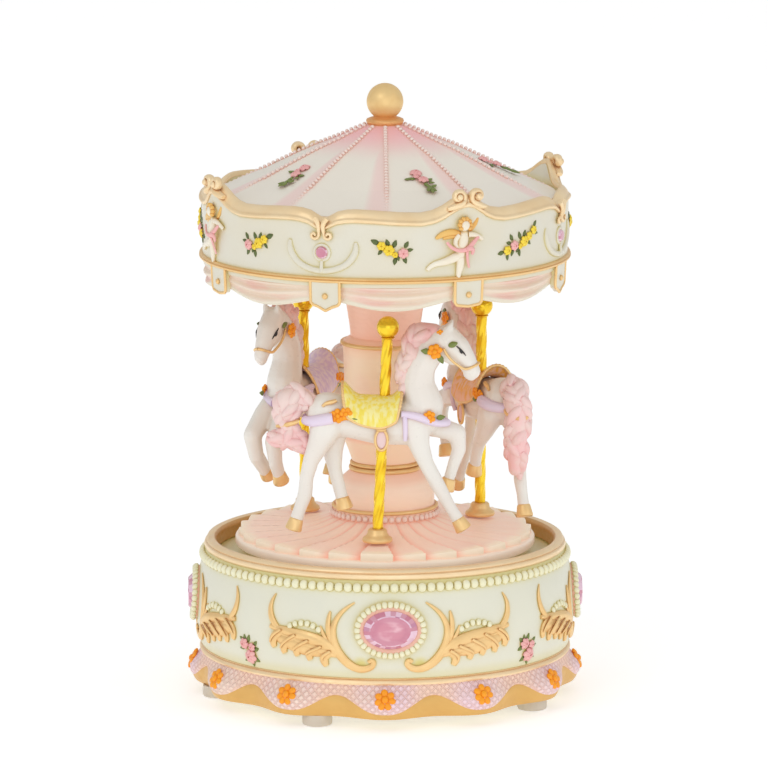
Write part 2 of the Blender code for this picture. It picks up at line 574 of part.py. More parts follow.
def make_winder(paints):
    """Winding arbor, the butterfly key on it, and the clutch spring that stops it running back."""
    lathe("winding_arbor", [(0, 7.4), (2.0, 7.4), (2.0, 29.0), (0, 29.0)], 14, paints["steel"])
    key = lathe("winding_key", [(0, 3.4), (3.2, 3.4), (3.2, 10.2), (2.3, 10.2), (2.3, 7.1), (0, 7.1)],
                14, paints["brass"])
    wing = [(2.0, 8.6), (4.5, 9.0), (8.6, 9.6), (11.6, 7.6), (11.6, 3.4), (8.6, 1.2), (4.5, 1.4),
            (2.0, 3.0), (-2.0, 3.0), (-4.5, 1.4), (-8.6, 1.2), (-11.6, 3.4), (-11.6, 7.6),
            (-8.6, 9.6), (-4.5, 9.0), (-2.0, 8.6), (-2.0, 6.6), (2.0, 6.6)]
    data = prism([(x * MM, y * MM) for x, y in wing], -0.8 * MM, 0.8 * MM)
    bmesh.ops.transform(data, matrix=Matrix.Rotation(math.pi / 2, 4, "X"), verts=data.verts)
    join(key, data, "key_wings")

    coil = bmesh.new()
    per_turn, turns, half = 12, 3, 0.35 * MM
    rings = []
    for i in range(per_turn * turns + 1):
        angle = 2 * math.pi * i / per_turn
        z = 14.2 * MM + 1.0 * MM * i / per_turn
        ring = []
        for out, up in ((-half, -half), (half, -half), (half, half), (-half, half)):
            radius = 2.9 * MM + out
            ring.append(coil.verts.new((radius * math.cos(angle), radius * math.sin(angle), z + up)))
        rings.append(ring)
    for near, far in zip(rings, rings[1:]):
        for i in range(4):
            coil.faces.new((near[i - 1], near[i], far[i], far[i - 1]))
    coil.faces.new(rings[0])
    coil.faces.new(list(reversed(rings[-1])))
    clutch = new_object("clutch_spring", coil, paints["steel"])
    join(clutch, block((3.0 * MM, -0.4 * MM, 16.8 * MM), (9.6 * MM, 0.4 * MM, 17.6 * MM)), "clutch_tail")
    join(clutch, block((8.8 * MM, -0.4 * MM, 13.0 * MM), (9.6 * MM, 0.4 * MM, 17.2 * MM)), "clutch_leg")


def make_governor(paints):
    """Train wheel, worm with its air brake, and the frame that carries both."""
    outline = gear_outline(TRAIN_PINION_TEETH, TRAIN_PINION_RADIUS,
                           math.pi / 2 + math.pi / TRAIN_PINION_TEETH)
    wheel = new_object("train_wheel", prism(outline, *BARREL_WHEEL_Z), paints["brass"])
    outline = gear_outline(WORM_WHEEL_TEETH, WORM_WHEEL_RADIUS,
                           -math.pi / 2 + math.pi / WORM_WHEEL_TEETH, 0.35 * MM, 0.6 * MM)
    join(wheel, prism(outline, WORM_Z - 0.6 * MM, WORM_Z + 0.6 * MM), "worm_wheel")
    join(wheel, rod(0.9 * MM, (0, 0, 20.9 * MM), (0, 0, 35 * MM), 10), "train_shaft")
    for thing in (wheel, bpy.data.objects["worm_wheel"], bpy.data.objects["train_shaft"]):
        thing.location = (0, TRAIN_Y, 0)

    steps, per_lead, leads = 10, 6, 5
    length = leads * WORM_LEAD
    data = bmesh.new()
    rings = []
    for x in (-9.8 * MM, -length / 2 - 0.4 * MM):
        rings.append([(x, 0.8 * MM)] * steps)
    for column in range(leads * per_lead + 1):
        x = -length / 2 + length * column / (leads * per_lead)
        turns = [2 * math.pi * (x / WORM_LEAD - step / steps) for step in range(steps)]
        rings.append([(x, WORM_RADIUS - 0.1 * MM + 0.4 * MM * math.cos(turn)) for turn in turns])
    for x in (length / 2 + 0.4 * MM, 13.6 * MM):
        rings.append([(x, 0.8 * MM)] * steps)
    loops = []
    for ring in rings:
        loop = []
        for step, (x, radius) in enumerate(ring):
            turn = 2 * math.pi * step / steps
            loop.append(data.verts.new((x, radius * math.cos(turn), radius * math.sin(turn))))
        loops.append(loop)
    for near, far in zip(loops, loops[1:]):
        for i in range(steps):
            data.faces.new((near[i - 1], near[i], far[i], far[i - 1]))
    data.faces.new(loops[0])
    data.faces.new(list(reversed(loops[-1])))
    worm = new_object("governor_worm", data, paints["steel"])
    worm.location = (0, WORM_Y, WORM_Z)

    fan = new_object("governor_fan", rod(1.9 * MM, (10.2 * MM, 0, 0), (13.4 * MM, 0, 0), 12), paints["brass"])
    join(fan, block((10.5 * MM, -4.8 * MM, -0.35 * MM), (13.1 * MM, 4.8 * MM, 0.35 * MM)), "fan_blades")
    cut(fan, rod(1.1 * MM, (9 * MM, 0, 0), (15 * MM, 0, 0), 12), "fan_bore")
    for thing in (fan, bpy.data.objects["fan_blades"], bpy.data.objects["fan_bore"]):
        thing.location = (0, WORM_Y, WORM_Z)

    shape = [(-9.6, 20.8), (9.6, 20.8), (9.6, 32.9), (8.2, 32.9), (8.2, 22.3), (-8.2, 22.3),
             (-8.2, 32.9), (-9.6, 32.9)]
    data = prism([(x * MM, z * MM) for x, z in shape], -WORM_Y - 2.6 * MM, -WORM_Y + 2.6 * MM)
    bmesh.ops.transform(data, matrix=Matrix.Rotation(math.pi / 2, 4, "X"), verts=data.verts)
    frame = new_object("governor_frame", data, paints["zinc"])
    arm = block((-3 * MM, WORM_Y + 2 * MM, 20.8 * MM), (3 * MM, TRAIN_Y + 2 * MM, 22.3 * MM))
    join(frame, arm, "frame_arm")
    cut(frame, rod(1.1 * MM, (-11 * MM, WORM_Y, WORM_Z), (11 * MM, WORM_Y, WORM_Z), 10), "worm_bearings")
    cut(frame, rod(1.2 * MM, (0, TRAIN_Y, 19 * MM), (0, TRAIN_Y, 24 * MM), 10), "train_bearing")


def main():
    for old in list(bpy.data.objects):
        bpy.data.objects.remove(old)
    paints = make_paints()
    make_drum(paints)
    make_bottom(paints)
    make_gems(paints)
    make_platform(paints)
    make_column(paints)
    make_crown(paints)
    make_roof(paints)
    make_finial(paints)
    make_rides(paints)
    make_bedplate(paints)
    make_comb(paints)
    make_cylinder(paints)
    make_barrel(paints)
    make_spindle(paints)
    make_winder(paints)
    make_governor(paints)


main()
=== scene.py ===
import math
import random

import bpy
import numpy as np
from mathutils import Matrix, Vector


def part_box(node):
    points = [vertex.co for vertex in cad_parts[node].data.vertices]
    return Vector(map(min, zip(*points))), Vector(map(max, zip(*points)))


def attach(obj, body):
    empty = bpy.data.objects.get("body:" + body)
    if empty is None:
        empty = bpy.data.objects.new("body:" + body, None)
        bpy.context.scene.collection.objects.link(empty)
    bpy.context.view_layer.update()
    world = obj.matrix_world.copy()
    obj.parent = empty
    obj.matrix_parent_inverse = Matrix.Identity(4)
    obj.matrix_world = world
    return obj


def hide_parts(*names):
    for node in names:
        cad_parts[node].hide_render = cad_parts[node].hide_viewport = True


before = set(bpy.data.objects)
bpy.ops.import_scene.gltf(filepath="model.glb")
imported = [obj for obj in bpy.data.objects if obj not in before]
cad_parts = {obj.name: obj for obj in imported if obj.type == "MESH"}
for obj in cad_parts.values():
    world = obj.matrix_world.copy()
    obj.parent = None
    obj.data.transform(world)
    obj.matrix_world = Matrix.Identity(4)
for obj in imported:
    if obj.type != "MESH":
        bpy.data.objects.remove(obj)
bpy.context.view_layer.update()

# %% [markdown]
# # A wind-up carousel music box
# The music box is cast in resin and painted by hand, in cream, pink and gold. A round base hides the
# clockwork. A platform turns on it, with a column, three horses on brass poles, and a canopy.
# Every moving part is in the frame that has just been loaded, so each piece below is modelled
# where it belongs, and then told which part of the clockwork it rides on.

MM = 0.001

# %% [markdown]
# ## Finishes
# A finish is a Principled shader with a few nodes in front of it. Paint on resin is never one flat
# colour: it thins on the edges and drifts from one side to the other. The creases sit in shade, and
# the finishes paint that shade in as darker colour. This small class keeps the node work short, so
# that each finish below can be read as a recipe.

# %% A short way to build finishes
def tint(red, green, blue):
    """A colour given as on a paint chart, 0 to 255, made linear for the shader."""
    return tuple((c / 255 / 12.92) if c <= 10 else ((c / 255 + 0.055) / 1.055) ** 2.4
                 for c in (red, green, blue)) + (1.0,)


class Finish:
    def __init__(self, name, roughness, metallic=0.0, coat=0.0):
        self.material = bpy.data.materials.new(name)
        self.material.use_nodes = True
        self.tree = self.material.node_tree
        self.shader = self.tree.nodes["Principled BSDF"]
        self.shader.inputs["Roughness"].default_value = roughness
        self.shader.inputs["Metallic"].default_value = metallic
        self.shader.inputs["Coat Weight"].default_value = coat
        self.shader.inputs["Coat Roughness"].default_value = 0.25
        self.place = self.add("TexCoord").outputs["Object"]

    def add(self, kind, inputs=None, **settings):
        node = self.tree.nodes.new("ShaderNode" + kind)
        for key, value in settings.items():
            setattr(node, key, value)
        for socket, value in (inputs or {}).items():
            self.put(node.inputs[socket], value)
        return node

    def put(self, socket, value):
        if isinstance(value, bpy.types.NodeSocket):
            self.tree.links.new(value, socket)
        else:
            socket.default_value = value

    def colour(self, value):
        self.put(self.shader.inputs["Base Color"], value)
        return self

    def noise(self, scale, detail=3.0, stretch=(1, 1, 1)):
        where = self.add("Mapping", {"Vector": self.place, "Scale": stretch}).outputs[0]
        return self.add("TexNoise", {"Vector": where, "Scale": scale, "Detail": detail}).outputs["Fac"]

    def sums(self, operation, first, second=0.0, clamp=False):
        return self.add("Math", {0: first, 1: second}, operation=operation, use_clamp=clamp).outputs[0]

    def span(self, value, low, high, to_low=0.0, to_high=1.0):
        node = self.add("MapRange", {"Value": value, "From Min": low, "From Max": high,
                                     "To Min": to_low, "To Max": to_high}, interpolation_type="SMOOTHSTEP")
        return node.outputs[0]

    def mix(self, share, first, second, way="MIX"):
        node = self.add("Mix", {0: share, 6: first, 7: second}, data_type="RGBA", blend_type=way)
        return node.outputs[2]

    def ramp(self, value, low, high, stops):
        """A run of colours along a value: stops are (value, colour), from low to high."""
        share = self.add("MapRange", {"Value": value, "From Min": low, "From Max": high}).outputs[0]
        node = self.add("ValToRGB", {0: share})
        for number, (at, colour) in enumerate(stops):
            keys = node.color_ramp.elements
            key = keys[number] if number < 2 else keys.new(1.0)
            key.position = (at - low) / (high - low)
            key.color = colour
        return node.outputs[0]

    def axes(self):
        parts = self.add("SeparateXYZ", {0: self.place})
        return parts.outputs[0], parts.outputs[1], parts.outputs[2]

    def polar(self):
        """Distance from the spindle, bearing from the front in radians, and height."""
        x, y, z = self.axes()
        flat = self.add("VectorMath", {0: self.place, 1: (1, 1, 0)}, operation="MULTIPLY").outputs[0]
        radius = self.add("VectorMath", {0: flat}, operation="LENGTH").outputs["Value"]
        return radius, self.sums("ARCTAN2", x, self.sums("MULTIPLY", y, -1)), z

    def crease(self, reach):
        """From ambient occlusion: 1 in creases between pieces closer than `reach`, 0 in the open; a mask for
        painted shade.
        """
        near = self.add("AmbientOcclusion", {"Distance": reach}, samples=6).outputs["AO"]
        return self.span(near, 0.95, 0.45)

    def crease_shaded(self, coat, dark, reach, share):
        """A coat with a share of a darker one painted in its creases as shade."""
        return self.mix(self.sums("MULTIPLY", self.crease(reach), share), coat, dark)

    def tone(self):
        """The share kept in the mesh by the attribute named tone."""
        return self.add("Attribute", attribute_name="tone").outputs["Fac"]

    def glow(self, share):
        """Adds a little of the finish's own colour as emitted light: a painted glow that brightens the part
        as if it were better lit.
        """
        self.shader.inputs["Emission Strength"].default_value = share
        self.material.node_tree.links.new(self.shader.inputs["Base Color"].links[0].from_socket,
                                          self.shader.inputs["Emission Color"])
        return self

    def bump(self, height, distance, strength=1.0):
        node = self.add("Bump", {"Height": height, "Distance": distance, "Strength": strength})
        self.put(self.shader.inputs["Normal"], node.outputs[0])
        return self

    def rough(self, low, high, scale=900):
        self.put(self.shader.inputs["Roughness"], self.span(self.noise(scale), 0.3, 0.7, low, high))
        return self


def painted(name, base, tone_and_shade, shadow=None, reach=1.6 * MM, roughness=0.42):
    """Hand paint on resin: a slightly uneven coat that drifts towards a second colour, with painted shade
    darkening the creases.
    """
    finish = Finish(name, roughness, coat=0.15)
    drift = finish.span(finish.noise(70, 2), 0.35, 0.65)
    coat = finish.mix(drift, base, finish.mix(0.35, base, tone_and_shade))
    # Painted shade darkens the creases, in the shadow colour if one is given, else in the second colour.
    finish.colour(finish.crease_shaded(coat, shadow or tone_and_shade, reach, 0.75))
    grain = finish.sums("ADD", finish.noise(1500, 2), finish.sums("MULTIPLY", finish.noise(260, 2), 1.5))
    return finish.bump(grain, 0.05 * MM, 0.5).rough(roughness - 0.07, roughness + 0.09)


def gilded(name, light, deep, metallic=0.55, roughness=0.36):
    """Gold paint laid on by brush: warm and satin, with painted brown shade in its creases."""
    finish = Finish(name, roughness, metallic)
    strokes = finish.span(finish.noise(120, 3, (1, 1, 2)), 0.3, 0.75)
    coat = finish.mix(finish.sums("MULTIPLY", strokes, 0.35), light, deep)
    # Painted brown shade in the creases.
    finish.colour(finish.crease_shaded(coat, tint(188, 118, 42), 0.8 * MM, 0.55))
    return finish.bump(finish.noise(800, 2), 0.03 * MM, 0.4).rough(roughness - 0.06, roughness + 0.1, 700)


# %% Paints
CREAM = tint(234, 232, 212)
# The yellow below is the colour of the painted shade on the drum wall.
YELLOW_SHADE = tint(222, 208, 112)
rim_gold = gilded("rim_gold_paint", tint(252, 226, 184), tint(240, 202, 148))
hem_gold = gilded("hem_gold_paint", tint(226, 182, 108), tint(212, 162, 90))
gold = gilded("gold_paint", tint(246, 210, 150), tint(230, 182, 112))
pearl_cream = painted("pearl_cream_paint", tint(243, 240, 208), tint(240, 234, 190), tint(190, 168, 70),
                      0.9 * MM, 0.32)
salmon = painted("salmon_paint", tint(240, 190, 168), tint(236, 174, 152))
orange = painted("orange_flower_paint", tint(255, 166, 2), tint(254, 150, 0), tint(236, 124, 2), 0.8 * MM)
rose_pink = painted("rose_pink_paint", tint(244, 186, 182), tint(238, 160, 160), tint(214, 100, 110),
                    0.6 * MM)
leaf_green = painted("leaf_green_paint", tint(124, 138, 66), tint(92, 112, 48), tint(56, 70, 30), 0.7 * MM)
petal_yellow = painted("petal_yellow_paint", tint(250, 222, 60), tint(244, 204, 36), tint(206, 150, 20),
                       0.7 * MM)

# %% [markdown]
# ## Modelling helpers
# Most of this object is turned, like work on a lathe. Its outline can be drawn once: a circle is
# added, and extruded and resized from ring to ring. Reliefs such as scrolls are easier to model flat
# and then to wrap round the drum, as a cake maker does with icing.

# %% Turning, wrapping, repeating and finishing
def select_only(piece):
    bpy.ops.object.select_all(action="DESELECT")
    piece.select_set(True)
    bpy.context.view_layer.objects.active = piece


def named(name):
    piece = bpy.context.object
    piece.name = name
    piece.data.name = name
    bpy.ops.object.transform_apply(location=True, rotation=True, scale=True)
    return piece


def turned(name, outline, steps=120):
    """A closed ring-shaped body, extruded from ring to ring along an outline of (radius, z) in mm."""
    bpy.ops.object.select_all(action="DESELECT")
    radius, z = outline[0]
    bpy.ops.mesh.primitive_circle_add(vertices=steps, radius=radius * MM, location=(0, 0, z * MM))
    piece = named(name)
    bpy.ops.object.mode_set(mode="EDIT")
    for next_radius, next_z in outline[1:] + outline[:1]:
        bpy.ops.mesh.extrude_region_move(TRANSFORM_OT_translate={"value": (0, 0, (next_z - z) * MM)})
        share = next_radius / radius
        bpy.ops.transform.resize(value=(share, share, 1), center_override=(0, 0, next_z * MM))
        radius, z = next_radius, next_z
    bpy.ops.mesh.select_all(action="SELECT")
    bpy.ops.mesh.remove_doubles(threshold=0.00001)
    bpy.ops.mesh.normals_make_consistent(inside=False)
    bpy.ops.object.mode_set(mode="OBJECT")
    return piece


def reshape(piece, rule):
    """Moves every point of a mesh by a rule, which takes and returns a point in metres."""
    for corner in piece.data.vertices:
        corner.co = rule(corner.co.copy())
    piece.data.update()
    return piece


def wrapped(piece, bearing, middle_z, surface):
    """Wraps a relief, modelled flat and facing the front, round a turned surface."""
    def rule(point):
        z = point.z + middle_z * MM
        radius = surface(z / MM) * MM
        angle = math.radians(bearing) + point.x / radius
        out = radius - point.y
        return Vector((out * math.sin(angle), -out * math.cos(angle), z))
    return reshape(piece, rule)


def around(bearing, radius=0.0, z=0.0, tilt=0.0, size=1.0):
    """The place of a piece modelled at the origin facing the front, set at a bearing; mm and degrees."""
    turn = Matrix.Rotation(math.radians(bearing), 4, "Z")
    out = Matrix.Translation((0, -radius * MM, z * MM)) @ Matrix.Rotation(math.radians(tilt), 4, "X")
    return turn @ out @ Matrix.Scale(size, 4)


def merged(pieces, name):
    bpy.ops.object.select_all(action="DESELECT")
    for piece in pieces:
        piece.select_set(True)
    bpy.context.view_layer.objects.active = pieces[0]
    if len(pieces) > 1:
        bpy.ops.object.join()
    pieces[0].name = name
    return pieces[0]


def twin_of(piece, place=Matrix.Identity(4)):
    twin = piece.copy()
    twin.data = piece.data.copy()
    twin.data.transform(place)
    if place.determinant() < 0:
        twin.data.flip_normals()
    bpy.context.collection.objects.link(twin)
    return twin


def repeated(model, places, name):
    """Copies a model to each place, each copy with its own mesh, and joins the copies."""
    made = merged([twin_of(model, place) for place in places], name)
    bpy.data.objects.remove(model)
    return made


def smooth(piece, angle=40):
    select_only(piece)
    bpy.ops.object.shade_smooth_by_angle(angle=math.radians(angle))
    return piece


def done(piece, finish, body, slot, *replaced, angle=40):
    """Paints a piece, smooths it and hangs it on its body of the clockwork."""
    smooth(piece, angle)
    piece.data.materials.clear()
    piece.data.materials.append(finish.material)
    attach(piece, body)
    if replaced:
        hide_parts(*replaced)
    return piece


def ball(name, size, steps=8, rings=6):
    """A small rounded bead at the origin; size is its width, depth and height in mm."""
    bpy.ops.object.select_all(action="DESELECT")
    bpy.ops.mesh.primitive_uv_sphere_add(segments=steps, ring_count=rings, radius=0.5 * MM, scale=size)
    return named(name)


def tubes(name, lines, sides=2, step=3, thick=1.0):
    """Tapered tubes; each line holds marks of (x, y, z, radius) in mm, and thick scales the radii."""
    bpy.ops.object.select_all(action="DESELECT")
    bpy.ops.curve.primitive_nurbs_path_add()
    piece = bpy.context.object
    curve = piece.data
    curve.splines.clear()
    curve.bevel_depth = thick * MM
    curve.bevel_resolution = sides
    curve.use_fill_caps = True
    for line in lines:
        spline = curve.splines.new("NURBS")
        spline.points.add(len(line) - 1)
        for point, (x, y, z, radius) in zip(spline.points, line):
            point.co = (x * MM, y * MM, z * MM, 1)
            point.radius = radius
        spline.order_u = min(4, len(line))
        spline.use_endpoint_u = True
        spline.resolution_u = step
    bpy.ops.object.convert(target="MESH")
    return named(name)


def strokes(name, lines, flat=0.6, sides=2, step=4):
    """Tapered strokes of flat relief; a line holds marks of (x, z, width) or (x, z, width, rise)."""
    raised = [[(mark[0], -(mark[3] if len(mark) > 3 else 0.0) / flat, mark[1], mark[2]) for mark in line]
              for line in lines]
    piece = tubes(name, raised, sides, step, 0.5)
    bpy.ops.object.mode_set(mode="EDIT")
    bpy.ops.mesh.select_all(action="SELECT")
    bpy.ops.mesh.remove_doubles(threshold=0.00001)
    bpy.ops.mesh.normals_make_consistent(inside=False)
    bpy.ops.object.mode_set(mode="OBJECT")
    return reshape(piece, lambda p: Vector((p.x, p.y * flat, p.z)))

# %% [markdown]
# ## Base drum
# The drum bulges a little between its gold rim and the gold line above the skirt. Its wall is a shallow
# curve, and one formula gives its radius at any height. The reliefs use the same formula later,
# which is how they come to lie flat on the wall.

# %% Drum wall, rim and gold line
SIDE_TURN = 1.6
SIDES = [SIDE_TURN + 90 * number for number in range(4)]
BULGE_Z = 25.5


def from_side(finish):
    """For a finish: the angle in radians from the middle of the nearest side."""
    ahead = finish.sums("ADD", finish.polar()[1], 4 * math.pi - math.radians(SIDE_TURN))
    return finish.sums("PINGPONG", ahead, math.pi / 4)


def flat_length(finish, across, up):
    """For a finish: how long the flat step (across, up) is."""
    step = finish.add("CombineXYZ", {0: across, 1: up}).outputs[0]
    return finish.add("VectorMath", {0: step}, operation="LENGTH").outputs["Value"]


def drum_radius(z):
    """Radius in mm of the bulging wall at a height in mm."""
    return 52.35 - 0.0125 * (z - BULGE_Z) ** 2


wall_heights = [41.6 - 28.2 * i / 18 for i in range(19)]
drum_outline = [(drum_radius(z), z) for z in wall_heights] + [
    (49.4, 12.6), (48.6, 4.2), (42.4, 4.2), (42.4, 13.0), (38.5, 13.0), (38.5, 36.0), (4.3, 36.0),
    (4.3, 39.0), (46.9, 39.0), (46.9, 41.6)]
drum = turned("drum_wall", drum_outline, 180)

drum_paint = Finish("drum_paint", 0.4, coat=0.15)
height_here = drum_paint.polar()[2]
# Painted yellow shade: under the rim, below the scrolls, in each scroll's curl, and in the creases.
tone_and_shade = drum_paint.sums("MAXIMUM", drum_paint.span(height_here, 36.6 * MM, 40.4 * MM, 0, 0.6),
                       drum_paint.span(height_here, 18.0 * MM, 14.4 * MM, 0, 0.35))
tone_and_shade = drum_paint.sums("MAXIMUM", tone_and_shade, drum_paint.sums("MULTIPLY", drum_paint.crease(3.2 * MM), 0.9))
to_volute = drum_paint.sums("SUBTRACT", from_side(drum_paint), 0.155)
from_volute = flat_length(drum_paint, drum_paint.sums("MULTIPLY", to_volute, 50 * MM),
                          drum_paint.sums("SUBTRACT", height_here, 17.9 * MM))
tone_and_shade = drum_paint.sums("MAXIMUM", tone_and_shade, drum_paint.span(from_volute, 3.4 * MM, 0.8 * MM, 0, 0.85))
cloud = drum_paint.mix(drum_paint.noise(60, 2), CREAM, tint(226, 226, 210))
drum_paint.colour(drum_paint.mix(tone_and_shade, cloud,
                                 YELLOW_SHADE)).bump(drum_paint.noise(500), 0.05 * MM, 0.4).rough(0.34, 0.5)
done(drum, drum_paint, "base", "cream_resin", "base_drum")

rim_outline = [(49.35, 40.9), (49.75, 41.2), (49.9, 41.8), (49.7, 42.4), (49.2, 42.7), (49.3, 43.0),
               (49.0, 43.6),
               (48.4, 43.9), (47.5, 43.85), (46.9, 43.5), (46.5, 42.9), (46.45, 42.0), (46.5, 39.3),
               (47.2, 39.3),
               (47.2, 40.9)]
rim = turned("drum_rim", rim_outline, 240)
paint_here = rim_gold.shader.inputs["Base Color"].links[0].from_socket
# Painted shade: the inner wall of the rim, facing into the well, is darkened to brown.
inside = rim_gold.span(rim_gold.polar()[0], 47.3 * MM, 46.9 * MM, 0, 0.85)
rim_gold.colour(rim_gold.mix(inside, paint_here, tint(206, 150, 72)))
done(rim, rim_gold, "base", "gilt")

line_outline = [(50.2, 14.5), (50.7, 14.45), (51.05, 14.15), (50.75, 13.85), (51.1, 13.5), (51.3, 13.0),
                (51.1, 12.5),
                (50.4, 12.3), (49.6, 12.4)]
line = turned("drum_line", line_outline, 240)
done(line, rim_gold, "base", "gilt")
print("drum is widest at", round(drum_radius(BULGE_Z) * 2, 1), "mm")

# %% [markdown]
# ## Pearls under the rim
# A row of 126 little pearls runs round under the rim. One pearl is modelled, with few faces because it
# is repeated so often, and copied round by angle. Each is a little taller than wide, and half sunk.

# %% Rim pearls
pearl = ball("pearl", (2.6, 2.2, 2.6), 12, 8)
pearl_count = 126
spots = [around(360 * i / pearl_count, 50.25, 39.05) for i in range(pearl_count)]
done(repeated(pearl, spots, "rim_pearls"), pearl_cream, "base", "cream_resin", angle=80)

# %% [markdown]
# ## Quilted skirt
# The skirt is a frill of twelve lobes. Seen from above its edge is a cosine wave; seen from the front its
# lower edge is another one, high between the lobes. The surface is a grid of rings, moved by those two
# rules. A fine net of diamonds is pressed into it, too small to model: its lines come from two sloping
# ripples in the finish, which sink them and darken them salmon, as painted shade in the grooves. The gold
# hem is a second, smoother wall set a little behind the pink one, so that it shows below the edge.

# %% Skirt and hem
LOBES = 12
SKIRT_TOP, SKIRT_FOOT = 12.5, 3.2


def skirt_radius(bearing, z):
    """Radius in mm of the frill: flared towards the hem, and waved round its twelve lobes."""
    drop = max(0.0, min(1.0, (SKIRT_TOP - z) / 5.0))
    ease = drop * drop * (3 - 2 * drop)
    flare = 50.7 + 1.9 * ease - 0.10 * max(0.0, 7.5 - z) ** 1.3
    return flare + 1.55 * ease * math.cos(LOBES * bearing)


def edge_height(bearing):
    """Height in mm of the pink edge: 4.5 under a lobe, 9.2 between two."""
    wave = 0.5 - 0.5 * math.cos(LOBES * bearing)
    return 4.5 + 4.7 * wave ** 1.35


def sheet_round(name, steps, rows, rule, thick=0.8):
    """A wall all the way round: extruded ring by ring, then given its radius and height by a rule."""
    bpy.ops.object.select_all(action="DESELECT")
    bpy.ops.mesh.primitive_circle_add(vertices=steps, radius=50 * MM, location=(0, 0, 0))
    piece = named(name)
    bpy.ops.object.mode_set(mode="EDIT")
    for row in range(rows - 1):
        bpy.ops.mesh.extrude_region_move(TRANSFORM_OT_translate={"value": (0, 0, MM)})
    bpy.ops.mesh.select_all(action="SELECT")
    bpy.ops.mesh.normals_make_consistent(inside=False)
    bpy.ops.object.mode_set(mode="OBJECT")

    def place(point):
        bearing = math.atan2(point.x, -point.y)
        radius, height = rule(bearing, round(point.z / MM) / (rows - 1))
        return Vector((radius * MM * math.sin(bearing), -radius * MM * math.cos(bearing), height * MM))
    reshape(piece, place)
    wall = piece.modifiers.new("wall", "SOLIDIFY")
    wall.thickness = thick * MM
    wall.offset = -1
    select_only(piece)
    bpy.ops.object.modifier_apply(modifier="wall")
    return piece


def pink_rule(bearing, share):
    low = edge_height(bearing)
    z = low + (SKIRT_TOP - low) * share
    turn_in = 0.7 * max(0.0, 1 - share * 7)
    return skirt_radius(bearing, z) - turn_in, z


def hem_rule(bearing, share):
    z = SKIRT_FOOT + (SKIRT_TOP - 1 - SKIRT_FOOT) * share
    return skirt_radius(bearing, z) - 0.55 - 0.5 * max(0.0, 1 - share * 9), z


skirt = sheet_round("skirt_quilt", 480, 18, pink_rule)
hem = sheet_round("skirt_hem", 240, 14, hem_rule, 2.5)

skirt_paint = Finish("skirt_paint", 0.5, coat=0.1)
bearing_here, height_here = skirt_paint.polar()[1:]
lobe = skirt_paint.sums("COSINE", skirt_paint.sums("MULTIPLY", bearing_here, LOBES))
lilac = skirt_paint.mix(skirt_paint.span(skirt_paint.noise(55, 2), 0.35, 0.7), tint(250, 224, 208),
                        tint(246, 216, 226))
base = skirt_paint.mix(skirt_paint.span(lobe, -1, 0.6), tint(248, 212, 192), lilac)
across = skirt_paint.sums("MULTIPLY", bearing_here, 150 / (2 * math.pi))
up = skirt_paint.sums("MULTIPLY", height_here, 1 / (2.1 * MM))
to_line = [skirt_paint.sums("PINGPONG", skirt_paint.sums(way, across, up),
                            0.5) for way in ("ADD", "SUBTRACT")]
net = skirt_paint.span(skirt_paint.sums("MINIMUM", *to_line), 0.03, 0.26, 0, 1)
fade = skirt_paint.span(skirt_paint.noise(90, 2), 0.3, 0.6, 0.2, 0.5)
# Painted shade: the sunk net lines darken to salmon.
base = skirt_paint.mix(skirt_paint.sums("MULTIPLY", skirt_paint.sums("SUBTRACT", 1.0, net), fade), base,
                       tint(228, 176, 160))
skirt_paint.colour(base)
skirt_paint.bump(skirt_paint.sums("ADD", net, skirt_paint.sums("MULTIPLY", skirt_paint.noise(1400), 0.3)),
                 0.22 * MM, 1.0)
done(skirt, skirt_paint, "base", "cream_resin")
done(hem, hem_gold, "base", "gilt")
print("skirt lobes reach", round(skirt_radius(0, 7.5), 2), "mm from the spindle")

# %% [markdown]
# ## Orange flowers on the skirt
# Each lobe carries one flower. It is made of seven flattened beads round an eighth. The beads are
# placed by angle, with small differences, as a hand pressing clay would leave them.

# %% Skirt flowers
def blossom(name, petals, petal_size, reach, heart_size, jitter=0.0, seed=1):
    """A flower facing the front: beads round a heart; sizes in mm."""
    chance = random.Random(seed)
    parts = []
    for number in range(petals):
        turn = 360 * number / petals + chance.uniform(-jitter, jitter)
        bead = ball("petal", petal_size)
        bead.data.transform(Matrix.Rotation(math.radians(turn), 4,
                                            "Y") @ Matrix.Translation((0, 0, reach * MM)))
        parts.append(bead)
    heart = ball("heart", heart_size)
    heart.data.transform(Matrix.Translation((0, -0.25 * MM, 0)))
    return merged(parts + [heart], name)


skirt_flower = blossom("skirt_flower", 7, (2.1, 1.3, 2.5), 1.75, (2.2, 1.9, 2.2), 9, 3)
spots = []
for number in range(LOBES):
    bearing = 30 * number
    spots.append(around(bearing, skirt_radius(math.radians(bearing), 8.9) - 0.32, 8.9, -24))
done(repeated(skirt_flower, spots, "skirt_flowers"), orange, "base", "cream_resin", angle=80)

# %% [markdown]
# ## Oval stones
# Four pink acrylic stones sit in salmon beds with a frame of pearls. A stone is an oval prism whose
# front is inset twice: the first ring makes the sloping facets, and the second the flat table. The
# facets stay flat-shaded. An attribute gives each facet a tone of painted reflection, light or dark at
# random, and the table one even tone; the finish colours by it, and paints the table lighter in its
# middle as a reflection too.

# %% Stones, beds and pearl frames
STONE_Z = 28.0
stone_paint = Finish("pink_stone", 0.08, coat=0.5)
